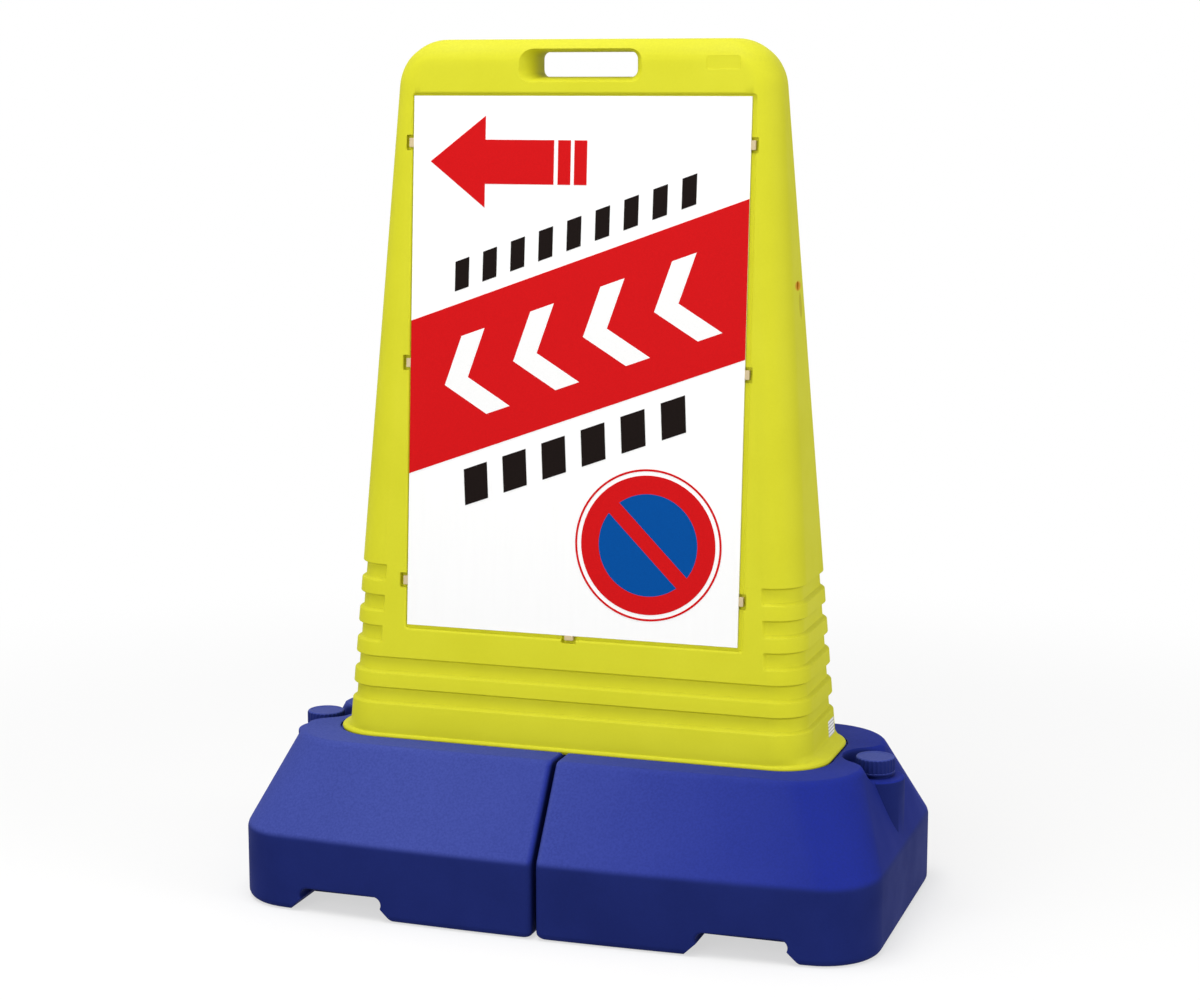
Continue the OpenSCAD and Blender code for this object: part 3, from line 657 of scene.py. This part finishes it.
def tank_outline(scene, w, d, r, bow, inset):
    """Half of the base's plan, right of the split, whose long walls bow out to the split."""
    b = scene.sign_base
    round_r = r - inset
    lean = math.atan(2 * bow / w)
    # The long wall goes from the rounding at the split to the rounding at the base's corner
    y = d - inset
    x0 = b.split_gap / 2 + inset + b.split_r
    x1 = w - r + round_r * math.sin(lean)
    steps = 12
    front = [p[:2] for p in arc(x0, b.split_r - y, b.split_r, 180, 270, 6)]
    for i in range(1, steps):
        x = x0 + (x1 - x0) * i / steps
        front.append((x, bow * (x / x1) ** 2 - y))
    middle_y = y - bow - round_r * math.cos(lean)
    front += [p[:2] for p in arc(w - r, -middle_y, round_r, 270 + math.degrees(lean), 360, 14)]
    return front + [(x, -y) for x, y in reversed(front)]


def tank_ring(scene, z, share=0.0, inset=0.0):
    """A ring of a tank. share goes from 0 on the wall to 1 at the flat top."""
    b = scene.sign_base
    outline = tank_outline(scene, b.half_w - share * b.slope_end, b.half_d - share * b.slope_face,
                           b.wall_r + share * (b.deck_r - b.wall_r), b.bow * (1 - 0.8 * share), inset)
    return [(x, y, z) for x, y in outline]


def tank_skin(scene):
    """The tank's outside, before anything is cut."""
    b = scene.sign_base
    rise = b.deck_z - b.wall_h
    rings = []
    for cut, drop in rounding(6):
        rings.append(tank_ring(scene, b.sole_r * cut, 0, b.sole_r * drop))
    for k in range(9):
        t = k / 8
        rings.append(tank_ring(scene, b.wall_h - b.break_r + 2 * b.break_r * t, t * t * b.break_r / rise))
    # The blend at the deck starts on the slope and ends on the flat
    for k in range(7):
        t = k / 6
        drop = (1 - t) ** 2 * b.deck_edge
        rings.append(tank_ring(scene, b.deck_z - drop, 1 - drop / rise, t * t * b.deck_edge * 0.8))
    return skin("tank", rings)


def tower_room_tool(scene):
    """What is cut for the tower: its foot, its stem and the seat of its lip."""
    t, b = scene.sign_tower, scene.sign_base
    g = b.gap
    steps = 16
    stem_sizes = (t.stem_half_w, t.stem_half_d, t.stem_r)
    foot = round_box(*[size + t.foot_out for size in stem_sizes], steps)
    stem = round_box(*stem_sizes, steps)
    lip = round_box(t.lip_half_w, t.lip_half_d, t.lip_r, steps)
    shoulder = t.foot_t + t.foot_ramp + g
    rings = [at(foot, -5 * MM, g), at(foot, shoulder, g), at(stem, shoulder, g),
             at(stem, lip_low(scene), g), at(lip, lip_low(scene), g)]
    rings += [at(lip, b.deck_z - depth, g + wide) for depth, wide in edge_flare(1.4 * MM)]
    return skin("tower room tool", rings)


def pocket_tool(scene):
    """What is cut round the cap: a round pocket whose walls open out to the base's end."""
    b, f = scene.sign_base, scene.sign_filler
    floor = b.deck_z - f.boss_sink
    rise = b.deck_z - b.wall_h
    past, clear, tight, lift = 4 * MM, 0.15 * MM, 3 * MM, 1.2 * MM
    beyond = b.half_w + 20 * MM
    steps = 12
    rings = []
    for k in range(steps + 1):
        z = floor + (f.boss_sink + past) * k / steps
        up = max(0.0, (z - floor) / f.boss_sink)
        edge = b.half_w - b.slope_end * (z - b.wall_h) / rise + clear
        flare = tight + (f.pocket_flare - tight) * min(1.0, up) ** 0.9
        # Its rim opens over the uppermost fifth
        r = f.pocket_r + (max(0.0, up - 0.8) * 5) ** 2 * lift
        # The fillet's middle lies inside the wall, tangent to the pocket and to the end's slope
        cx = edge - flare
        cy = math.sqrt(max(0.0, (r + flare) ** 2 - (cx - f.x) ** 2))
        meet = math.degrees(math.atan2(cy, cx - f.x))
        inner = [p[:2] for p in arc(f.x, 0, r, meet, 360 - meet, 40)]
        fillet = [p[:2] for p in arc(cx, -cy, flare, 180 - meet, 0, 12)]
        far = [(beyond, -cy - 1 * MM), (beyond, cy + 1 * MM)]
        mirror = [(x, -y) for x, y in reversed(fillet[1:])]
        rings.append([(x, y, z) for x, y in inner + fillet[1:] + far + mirror])
    return skin("pocket tool", rings)


def notch_tool(scene, side):
    """What is cut for one finger notch, with a soft edge where it leaves the wall."""
    b = scene.sign_base
    w = b.notch_w / 2
    t = w - b.notch_draft
    below = 6 * MM
    lean = math.atan(b.notch_draft / b.notch_h)
    nx, ny = math.cos(-lean), math.sin(-lean)
    half = [(w + below * math.tan(lean), -below, nx, ny), (w, 0, nx, ny)]
    half += arc(t - b.notch_r, b.notch_h - b.notch_r, b.notch_r, -math.degrees(lean), 90, 8)
    outline = half + [(-x, z, -a, c) for x, z, a, c in reversed(half)]
    rings = []
    for depth, wide in [*reversed(edge_flare(b.notch_edge)), (b.notch_deep, 0.0)]:
        ring = []
        for x, z, a, c in outline:
            px = b.half_w - b.notch_x + x + a * wide
            # The inner end is flat, and the rest follows the bowed wall
            bow = 0.0 if depth == b.notch_deep else b.bow * (px / (b.half_w - b.wall_r)) ** 2
            ring.append((px, side * (b.half_d - bow - depth), z + c * wide))
        rings.append(ring)
    return skin("notch tool", rings)


def turned(profile, a):
    """(radius, height) points, turned to angle a about the upright axis."""
    return [(r * math.cos(a), r * math.sin(a), z) for r, z in profile]


def lathe(name, profile):
    """A turned form from a profile that closes into a loop."""
    steps = 96
    return loop(name, [turned(profile, 2 * math.pi * k / steps) for k in range(steps)])


def boss_body(scene):
    """The upright boss under the cap."""
    b, f = scene.sign_base, scene.sign_filler
    top = b.deck_z - f.boss_sink
    middle = (f.x, 0)
    ring = circle(f.boss_r, 96)
    rings = [at(ring, b.wall_h / 2, 0, middle)]
    rings += [at(ring, top - f.boss_edge * drop, -f.boss_edge * cut, middle) for cut, drop in rounding(4)]
    return skin("boss", rings)


def right_tank(scene):
    """The whole right tank."""
    b, f = scene.sign_base, scene.sign_filler
    tank = tank_skin(scene)
    carve(tank, pocket_tool(scene))
    carve(tank, boss_body(scene), "UNION")
    carve(tank, tower_room_tool(scene))
    for side in (-1, 1):
        carve(tank, notch_tool(scene, side))
    # The bore ends blind, deep in the dark of the boss
    ring = circle(f.bore_r, 64)
    top = b.deck_z - f.boss_sink
    carve(tank, skin("bore tool", [at(ring, top + z, 0, (f.x, 0)) for z in (-50 * MM, 5 * MM)]))
    return tank


def thread(scene, root, crest, z0):
    """One turn of thread, its root at one radius and its crest at the other."""
    f = scene.sign_filler
    # It is bedded a third of its depth into the wall
    bed = root - math.copysign(f.thread_d / 3, crest - root)
    steps = 64
    rings = []
    for k in range(steps + 1):
        a = 2 * math.pi * k / steps
        # It fades in and out over its first and last eight steps
        size = min(1.0, k / 8, (steps - k) / 8)
        top = bed + (crest - bed) * max(0.05, size)
        z = z0 + f.thread_pitch * k / steps
        w = f.thread_w * (0.4 + 0.6 * size)
        profile = [(bed, z - w / 2), (top, z - w / 4), (top, z + w / 4), (bed, z + w / 2)]
        rings.append(turned(profile, a))
    return skin("thread", rings)


def neck(scene):
    """The filler's neck with its thread."""
    b, f = scene.sign_base, scene.sign_filler
    low = b.deck_z - f.boss_sink
    top = low + f.neck_h
    root = low - 4 * MM
    c = 0.5 * MM
    profile = [(f.bore_r, root), (f.neck_r, root), (f.neck_r, top - c), (f.neck_r - c, top),
               (f.bore_r + c, top), (f.bore_r, top - c)]
    tube = lathe("neck tube", profile)
    ridge = thread(scene, f.neck_r, f.neck_r + f.thread_d, f.cap_rim + f.thread_w)
    return move(join("filler neck", [tube, ridge]), Matrix.Translation((f.x, 0, 0)))


def cap(scene):
    """A screw cap: ribbed drum, plain collar below and a shallow dish on top."""
    f = scene.sign_filler
    drum, outer = f.cap_r - f.rib_d, f.cap_r - 0.1 * MM
    low, top = f.cap_rim, f.cap_top
    collar = low + 2.2 * MM
    edge, brim, slope, dish = 1.6 * MM, 1.4 * MM, 1 * MM, 0.6 * MM
    # (radius, height, how much of a rib shows there)
    profile = [(f.cap_bore, low, 0), (drum - 0.2 * MM, low, 0), (outer, low + 0.4 * MM, 0),
               (outer, collar - 0.4 * MM, 0), (drum, collar, 0), (drum, collar + 0.2 * MM, 0.6),
               (drum, collar + 1.2 * MM, 1), (drum, top - edge - 1 * MM, 1),
               (drum - 0.1 * MM, top - edge, 0.6)]
    profile += [(drum - edge * cut, top - edge * drop, 0.5 * (1 - k / 6))
                for k, (cut, drop) in enumerate(rounding(6)) if k]
    rim = drum - edge - brim
    axis, flat = 0.05 * MM, top - dish
    profile += [(rim, top, 0), (rim - slope, flat + 0.05 * MM, 0), (rim - 1.6 * slope, flat, 0),
                (2 * MM, flat, 0), (axis, flat, 0), (axis, SEAL_TOP.z, 0), (f.cap_bore, SEAL_TOP.z, 0)]
    per_rib = 8
    steps = f.ribs * per_rib
    rings = []
    for k in range(steps):
        a = 2 * math.pi * k / steps
        wave = f.rib_d * ease(1 - abs(2 * (k % per_rib) / per_rib - 1) * 1.35)
        rings.append(turned([(r + wave * rib, z) for r, z, rib in profile], a))
    drum_piece = loop("cap drum", rings)
    ridge = thread(scene, f.cap_bore, f.cap_bore - f.thread_d,
                   f.cap_rim + f.thread_w + f.thread_pitch / 2)
    return move(join("screw cap", [drum_piece, ridge]), Matrix.Translation((f.x, 0, 0)))


def clip(scene, turn, spot, angle):
    """One moulded clip beside the panel's edge, a little prouder than the panel, with a chamfered foot and
    a rounded top.
    """
    f = scene.sign_face
    top = f.panel_t + 0.5 * MM
    half_l = f.clip_l / 2
    body = round_box(f.clip_w / 2, half_l, 0.8 * MM, 4)
    shift = (f.clip_w / 2, 0)
    # (height, widening): a chamfered foot and a rounded top
    steps = ((-f.clip_deep, -0.3 * MM), (-f.clip_deep + 0.3 * MM, 0), (top - 0.6 * MM, 0),
             (top - 0.15 * MM, -0.25 * MM), (top, -0.7 * MM))
    rings = [at(body, z, wide, shift) for z, wide in steps]
    return move(skin("clip", rings), place_on_face(scene, turn, spot, angle))


# Materials


def add(tree, kind, links=None, **settings):
    """Adds a node, with its settings and with values or links for its sockets."""
    made = tree.nodes.new(kind)
    for key, value in settings.items():
        setattr(made, key, value)
    for key, value in (links or {}).items():
        socket = made.inputs[key]
        if isinstance(value, bpy.types.NodeSocket):
            tree.links.new(value, socket)
        else:
            socket.default_value = value
    return made


def start(name):
    """An empty material, its node tree and the place on the object."""
    material = bpy.data.materials.new(name)
    material.use_nodes = True
    tree = material.node_tree
    tree.nodes.clear()
    return material, tree, add(tree, "ShaderNodeTexCoord").outputs["Object"]


def surface(material, colour, roughness, ior, **more):
    """Ends a material in a principled surface."""
    tree = material.node_tree
    more = {key.replace("_", " "): value for key, value in more.items()}
    shader = add(tree, "ShaderNodeBsdfPrincipled",
                 {"Base Color": colour, "Roughness": roughness, "IOR": ior, **more})
    add(tree, "ShaderNodeOutputMaterial", {"Surface": shader.outputs["BSDF"]})
    return material


def noise(tree, where, size, detail, **more):
    """Noise whose marks are of the given size."""
    made = add(tree, "ShaderNodeTexNoise", {"Vector": where, "Scale": 1 / size, "Detail": detail, **more})
    return made.outputs["Fac"]


def span(tree, value, low, high, to_low=0.0, to_high=1.0, kind="LINEAR"):
    """Carries a value from one range over to another, and holds it within that."""
    made = add(tree, "ShaderNodeMapRange", {"Value": value, "From Min": low, "From Max": high,
                                            "To Min": to_low, "To Max": to_high}, interpolation_type=kind)
    return made.outputs["Result"]


def sums(tree, operation, *values):
    """The result of a sum on up to three values."""
    return add(tree, "ShaderNodeMath", dict(enumerate(values)), operation=operation).outputs["Value"]


def mix(tree, share, first, second):
    """The first colour at share 0, the second at 1."""
    ends = [c if isinstance(c, bpy.types.NodeSocket) else (*c, 1) for c in (first, second)]
    made = add(tree, "ShaderNodeMix", {"Factor": share, "A": ends[0], "B": ends[1]}, data_type="RGBA")
    return made.outputs["Result"]


def relief(tree, height, strength, distance, **more):
    """The normal over a relief of the given depth."""
    made = add(tree, "ShaderNodeBump",
               {"Height": height, "Strength": strength, "Distance": distance, **more})
    return made.outputs["Normal"]


def patch(tree, where, centre, reach, strength):
    """Share of a soft oval mark round a point: the strength in its middle, 0 outside."""
    away = add(tree, "ShaderNodeVectorMath", {0: where, 1: centre}, operation="SUBTRACT")
    flat = add(tree, "ShaderNodeVectorMath", {0: away.outputs["Vector"], 1: tuple(1 / r for r in reach)},
               operation="MULTIPLY")
    far = add(tree, "ShaderNodeVectorMath", {0: flat.outputs["Vector"]}, operation="LENGTH")
    return span(tree, far.outputs["Value"], 0.55, 1.0, strength, 0.0, "SMOOTHSTEP")


def moulded_polyethylene(name, colour, deep, clear, painted_highlight, painted_top_light, roughness, gloss, marks=()):
    """Rotationally moulded polyethylene: pigmented right through, waxy, with a faint orange peel.

    Its upper faces carry painted light: the painted highlight colour towards the left and the clear colour,
    painted top light, towards the right. Where that colour is darker, it paints shade instead.
    """
    material, tree, where = start(name)
    # Cloudy pigment, 70 mm across
    cloud = noise(tree, where, 70 * MM, 3.0, Roughness=0.55)
    # Pigment specks, really 0.3 mm and drawn at 2.2 mm so that they show
    speck = noise(tree, where, 2.2 * MM, 2.0)
    clouds = span(tree, cloud, 0.3, 0.7)
    specks = span(tree, speck, 0.25, 0.75, 0.0, 0.35)
    pigment = mix(tree, sums(tree, "MULTIPLY_ADD", clouds, 0.65, specks), colour, deep)
    # Painted light on the faces that look up, growing as they turn up
    normal = add(tree, "ShaderNodeNewGeometry").outputs["Normal"]
    facing = add(tree, "ShaderNodeSeparateXYZ", {"Vector": normal})
    up = span(tree, facing.outputs["Z"], 0.12, 0.62, 0.0, painted_top_light, "SMOOTHSTEP")
    # Painted highlight from the left: the painted light takes the highlight colour on the left, and the
    # clear colour on the right and on faces that turn there
    place = add(tree, "ShaderNodeSeparateXYZ", {"Vector": where})
    lean = sums(tree, "MULTIPLY_ADD", facing.outputs["X"], 0.5, place.outputs["X"])
    painted_light_colour = mix(tree, span(tree, lean, -0.2, 0.42, 1.0, 0.0, "SMOOTHSTEP"), clear, painted_highlight)
    # Fine flecks break up the painted light
    painted_light_share = sums(tree, "MULTIPLY", up, span(tree, speck, 0.35, 0.65, 0.85, 1.15))
    shown = mix(tree, painted_light_share, pigment, painted_light_colour)
    # Marks: painted shade at the vent hole, and a darker band along the seam
    for centre, reach, strength, shade in marks:
        shown = mix(tree, patch(tree, where, centre, reach, strength), shown, shade)
    # Slow unevenness of the moulded wall, 45 mm across
    slow = relief(tree, noise(tree, where, 45 * MM, 1.0), 0.35, 0.9 * MM)
    # Orange peel, really 1.5 mm and drawn at 3 mm
    fine = relief(tree, noise(tree, where, 3 * MM, 1.5), 0.30, 0.12 * MM, Normal=slow)
    rough = span(tree, cloud, 0.3, 0.7, roughness - 0.05, roughness + 0.06)
    return surface(material, shown, rough, 1.51, Specular_IOR_Level=gloss, Normal=fine)


def printed_vinyl(name, colour, deep):
    """Screen-printed cast vinyl film: flat strong ink with a satin face and a trace of ink grain."""
    material, tree, where = start(name)
    # Ink grain, really 0.1 mm and drawn at 1.6 mm
    grain = noise(tree, where, 1.6 * MM, 2.0)
    ink = mix(tree, span(tree, grain, 0.3, 0.7), colour, deep)
    bump = relief(tree, grain, 0.1, 0.03 * MM)
    return surface(material, ink, 0.55, 1.46, Specular_IOR_Level=0.05, Normal=bump)


def ruled_label(name, colour, ink):
    """Paper label under a clear film: white with a few faint ruled lines."""
    material, tree, where = start(name)
    # Rules across the label, 3.4 mm apart. A wave repeats every 2 pi / 20 at scale 1
    rules = add(tree, "ShaderNodeTexWave", {"Vector": where, "Scale": math.pi / 10 / (3.4 * MM)},
                bands_direction="Z")
    share = span(tree, rules.outputs["Fac"], 0.5, 0.8, 0.0, 0.6)
    return surface(material, mix(tree, share, colour, ink), 0.5, 1.46, Specular_IOR_Level=0.1)


def white_panel(name, colour, deep):
    """Extruded polypropylene sheet with a matt white face: bright, with very shallow extrusion lines."""
    material, tree, where = start(name)
    # Extrusion lines run up the sheet
    apart, run = 6 * MM, 400 * MM
    stretch = add(tree, "ShaderNodeMapping", {"Vector": where, "Scale": (1 / apart, 1 / apart, 1 / run)})
    lines = noise(tree, stretch.outputs["Vector"], 1.0, 2.0)
    white = mix(tree, span(tree, lines, 0.35, 0.65), colour, deep)
    return surface(material, white, 0.38, 1.49, Normal=relief(tree, lines, 0.15, 0.08 * MM))


def mottled(name, colour, deep, size, detail, roughness, ior):
    """Matt moulded nylon or rubber with a fine mottle of the given size."""
    material, tree, where = start(name)
    shades = mix(tree, noise(tree, where, size, detail), colour, deep)
    return surface(material, shades, roughness, ior)


def studio_floor(name):
    """Pale studio floor: the camera sees it fade to white, and it throws little light on the sign."""
    material, tree, where = start(name)
    path = add(tree, "ShaderNodeLightPath")
    reach = add(tree, "ShaderNodeVectorMath", {0: where}, operation="LENGTH")
    far = span(tree, reach.outputs["Value"], 0.6, 1.7, 0.6, 1.0, "SMOOTHSTEP")
    lit = add(tree, "ShaderNodeBsdfDiffuse", {"Color": (0.90, 0.90, 0.90, 1)})
    dim = add(tree, "ShaderNodeBsdfDiffuse", {"Color": (0.40, 0.40, 0.40, 1)})
    white = add(tree, "ShaderNodeEmission", {"Color": (1, 1, 1, 1), "Strength": 1.0})
    seen = sums(tree, "MAXIMUM", path.outputs["Is Camera Ray"], path.outputs["Is Glossy Ray"])
    near = add(tree, "ShaderNodeMixShader",
               {0: far, 1: lit.outputs["BSDF"], 2: white.outputs["Emission"]})
    both = add(tree, "ShaderNodeMixShader",
               {0: seen, 1: dim.outputs["BSDF"], 2: near.outputs["Shader"]})
    add(tree, "ShaderNodeOutputMaterial", {"Surface": both.outputs["Shader"]})
    return material


def vent_marks(scene):
    """(middle, reach, strength, colour) of the painted brown shade at the vent hole and of the darker band
    below it.

    At the vent hole, shade and the glow of light through the thin wall are painted into the colour, and the
    darker olive band runs along the open parting line.
    """
    f, c = scene.sign_face, scene.sign_colours
    deep = 20 * MM
    low = f.vent_z - f.vent_r - 2 * MM - f.seam_l / 2
    return (
        # The darker olive band along the parting line
        ((wall_at(scene, low)[0], f.seam_y, low), (deep, 7 * MM, f.seam_l * 0.6), 0.9, tuple(c.darker_seam_band)),
        # Painted shade and glow round the vent hole
        ((wall_at(scene, f.vent_z)[0], 0, f.vent_z), (deep, f.vent_r * 3.2, f.vent_r * 1.3), 0.95,
         tuple(c.vent)),
    )


def finish_of(name):
    """The material of that name, made when it is first asked for."""
    if name in bpy.data.materials:
        return bpy.data.materials[name]
    scene = bpy.context.scene
    c = scene.sign_colours
    # Colours of the painted light on upward faces
    clear, painted_highlight = tuple(c.clear), tuple(c.painted_top_light)
    # Painted shade: the yellow's upward faces are painted darker
    painted_top_shade = tuple(v * 0.82 for v in c.yellow)
    # Maker, colour, how bright its second shade is beside the first, and what else the maker takes
    finishes = {
        # Yellow: painted shade on its upward faces, and the marks at the vent hole
        "yellow moulded polyethylene": (moulded_polyethylene, c.yellow, 0.94, painted_top_shade, painted_top_shade, 0.9, 0.70, 0.32,
                                        vent_marks(scene)),
        # The blue base and the caps get painted light on their upward faces, paler towards the left on the
        # base
        "blue moulded polyethylene": (moulded_polyethylene, c.blue, 0.78, clear, painted_highlight, 0.6, 0.72, 0.08),
        "blue moulded polypropylene": (moulded_polyethylene, c.blue, 0.9, painted_highlight, painted_highlight, 0.55, 0.60, 0.10),
        "white polypropylene sheet": (white_panel, c.white, 0.99),
        "white vinyl film": (printed_vinyl, c.white, 0.97),
        "ruled label film": (ruled_label, c.white, 0.25),
        "red vinyl film": (printed_vinyl, c.red, 0.93),
        "blue vinyl film": (printed_vinyl, c.sign_blue, 0.92),
        "black vinyl film": (printed_vinyl, c.black, 0.8),
        # Painted shade: a tan colour on the off-white clips
        "off-white moulded nylon": (mottled, c.clip, 0.9, 2.5 * MM, 2.0, 0.5, 1.53),
        "black moulded rubber": (mottled, c.seal, 1.6, 3 * MM, 3.0, 0.75, 1.52),
    }
    maker, colour, depth, *more = finishes[name]
    return maker(name, tuple(colour), tuple(v * depth for v in colour), *more)


# Operators

# (name, place in metres, width) of the lamps
SOFTBOXES = (
    ("overhead", (-0.35, -0.62, 2.9), 1.8),
    ("front", (-0.45, -3.3, 1.2), 2.2),
    ("side", (3.2, -0.5, 1.3), 2.0),
)


class SIGN_OT_stage(bpy.types.Operator):
    """Sets up the camera, the pale floor and the soft lights"""

    bl_idname = "sign.stage"
    bl_label = "Stage"

    def execute(self, context):
        s = context.scene.sign_stage
        camera = put("camera", bpy.data.cameras.new("camera"))
        camera.location = s.camera
        camera.rotation_euler = (s.pitch, 0, s.yaw)
        camera.data.sensor_width = 36
        camera.data.lens = s.lens
        context.scene.camera = camera
        reach, drop = 40.0, 0.2 * MM
        floor = new_object("floor", [(x * reach, y * reach, -drop) for x, y, _ in CORNERS], [(0, 1, 2, 3)])
        floor.data.materials.append(studio_floor("studio floor"))
        for key, place, size in SOFTBOXES:
            self.softbox(context, key + " softbox", place, size, getattr(s, key))
        world = bpy.data.worlds.new("studio")
        world.use_nodes = True
        tree = world.node_tree
        tree.nodes.clear()
        path = add(tree, "ShaderNodeLightPath").outputs
        seen = sums(tree, "MAXIMUM", path["Is Camera Ray"], path["Is Glossy Ray"])
        more = sums(tree, "MAXIMUM", seen, path["Is Transmission Ray"])
        level = span(tree, more, 0.0, 1.0, s.room, 1.0)
        sky = add(tree, "ShaderNodeBackground", {"Color": (1, 1, 1, 1), "Strength": level})
        add(tree, "ShaderNodeOutputWorld", {"Surface": sky.outputs["Background"]})
        context.scene.world = world
        context.scene.view_settings.view_transform = "Standard"
        return {"FINISHED"}

    def softbox(self, context, name, place, size, power):
        """A square area lamp aimed at the middle of the sign."""
        lamp = bpy.data.lights.new(name, "AREA")
        lamp.shape = "SQUARE"
        lamp.size = size
        lamp.energy = power
        obj = put(name, lamp)
        obj.location = place
        aim = Vector((0, 0, context.scene.sign_tower.height / 2)) - obj.location
        obj.rotation_euler = aim.to_track_quat("-Z", "Y").to_euler()


class SIGN_OT_tower(bpy.types.Operator):
    """Builds the moulded tower with its grooves, hand hole and panel recesses"""

    bl_idname = "sign.tower"
    bl_label = "Tower"

    def execute(self, context):
        scene = context.scene
        t = scene.sign_tower
        rings = foot_rings(scene)
        for index in reversed(range(t.grooves)):
            rings += groove_rings(scene, index)
        rings += crown_rings(scene)
        tower = skin("tower", rings)
        for turn in (0, 180):
            carve(tower, recess_tool(scene, turn))
            for spot, angle in clip_places(scene):
                carve(tower, clip_notch_tool(scene, turn, spot, angle))
        carve(tower, hand_hole_tool(scene))
        carve(tower, badge_tool(scene))
        carve(tower, vent_tool(scene))
        carve(tower, seam_tool(scene))
        soften(tower)
        dress(tower, "tower", "yellow_plastic", finish_of("yellow moulded polyethylene"), "tower_shell")
        coat("side_label", finish_of("ruled label film"))
        return {"FINISHED"}


class SIGN_OT_tanks(bpy.types.Operator):
    """Builds the two ballast tanks and their filler necks"""

    bl_idname = "sign.tanks"
    bl_label = "Ballast tanks"

    def execute(self, context):
        scene = context.scene
        finish = finish_of("blue moulded polyethylene")
        for side, turn in (("right", 0), ("left", 180)):
            spin = Matrix.Rotation(math.radians(turn), 4, "Z")
            tank = move(right_tank(scene), spin)
            tank.name = side + "_ballast_tank"
            soften(tank)
            dress(tank, side + "_base", "blue_plastic", finish, side + "_tank")
            spout = move(neck(scene), spin)
            spout.name = side + "_filler_neck"
            soften(spout)
            dress(spout, side + "_base", "blue_plastic", finish)
        return {"FINISHED"}


class SIGN_OT_caps(bpy.types.Operator):
    """Builds the two screw caps and finishes their seals"""

    bl_idname = "sign.caps"
    bl_label = "Screw caps"

    def execute(self, context):
        scene = context.scene
        finish = finish_of("blue moulded polypropylene")
        for side, turn in (("right", 0), ("left", 180)):
            lid = move(cap(scene), Matrix.Rotation(math.radians(turn), 4, "Z"))
            lid.name = side + "_screw_cap"
            soften(lid)
            dress(lid, side + "_lid", "blue_plastic", finish, side + "_cap")
            coat(side + "_seal", finish_of("black moulded rubber"))
        return {"FINISHED"}


class SIGN_OT_panels(bpy.types.Operator):
    """Finishes the message panels and builds their clips"""

    bl_idname = "sign.panels"
    bl_label = "Panels and clips"

    def execute(self, context):
        scene = context.scene
        finish = finish_of("off-white moulded nylon")
        for face, turn in (("front", 0), ("back", 180)):
            coat(face + "_panel", finish_of("white polypropylene sheet"))
            parts = [clip(scene, turn, *place) for place in clip_places(scene)]
            clips = join(face + "_panel_clips", parts)
            soften(clips)
            dress(clips, face + "_face", "clip_plastic", finish, face + "_clips")
        return {"FINISHED"}


class SIGN_OT_print(bpy.types.Operator):
    """Finishes the printed film on both panels"""

    bl_idname = "sign.print"
    bl_label = "Printed film"

    def execute(self, context):
        inks = {"arrow": "red", "band": "red", "ring": "red", "disc": "blue", "dashes": "black",
                "chevrons": "white"}
        for face in ("front", "back"):
            for shape, ink in inks.items():
                coat(face + "_" + shape, finish_of(ink + " vinyl film"))
        return {"FINISHED"}


class SIGN_PT_panel(bpy.types.Panel):
    """Lists the sign's operators and sizes"""

    bl_label = "Freestanding sign"
    bl_idname = "SIGN_PT_panel"
    bl_space_type = "VIEW_3D"
    bl_region_type = "UI"
    bl_category = "Sign"

    def draw(self, context):
        for step in STEPS:
            self.layout.operator("sign." + step)
        for name in GROUPS:
            box = self.layout.box()
            box.label(text=name.replace("sign_", "").capitalize())
            group = getattr(context.scene, name)
            for key in group.bl_rna.properties.keys():
                if key not in ("rna_type", "name"):
                    box.prop(group, key)


STEPS = ("stage", "tower", "tanks", "caps", "panels", "print")

GROUPS = {
    "sign_tower": SignTower,
    "sign_face": SignFace,
    "sign_base": SignBase,
    "sign_filler": SignFiller,
    "sign_colours": SignColours,
    "sign_stage": SignStage,
}

CLASSES = (*GROUPS.values(), SIGN_OT_stage, SIGN_OT_tower, SIGN_OT_tanks, SIGN_OT_caps, SIGN_OT_panels,
           SIGN_OT_print, SIGN_PT_panel)


def register():
    for cls in CLASSES:
        bpy.utils.register_class(cls)
    for name, group in GROUPS.items():
        setattr(bpy.types.Scene, name, PointerProperty(type=group))


def unregister():
    for name in GROUPS:
        delattr(bpy.types.Scene, name)
    for cls in reversed(CLASSES):
        bpy.utils.unregister_class(cls)


def main():
    register()
    for step in STEPS:
        getattr(bpy.ops.sign, step)()


if __name__ == "__main__":
    main()
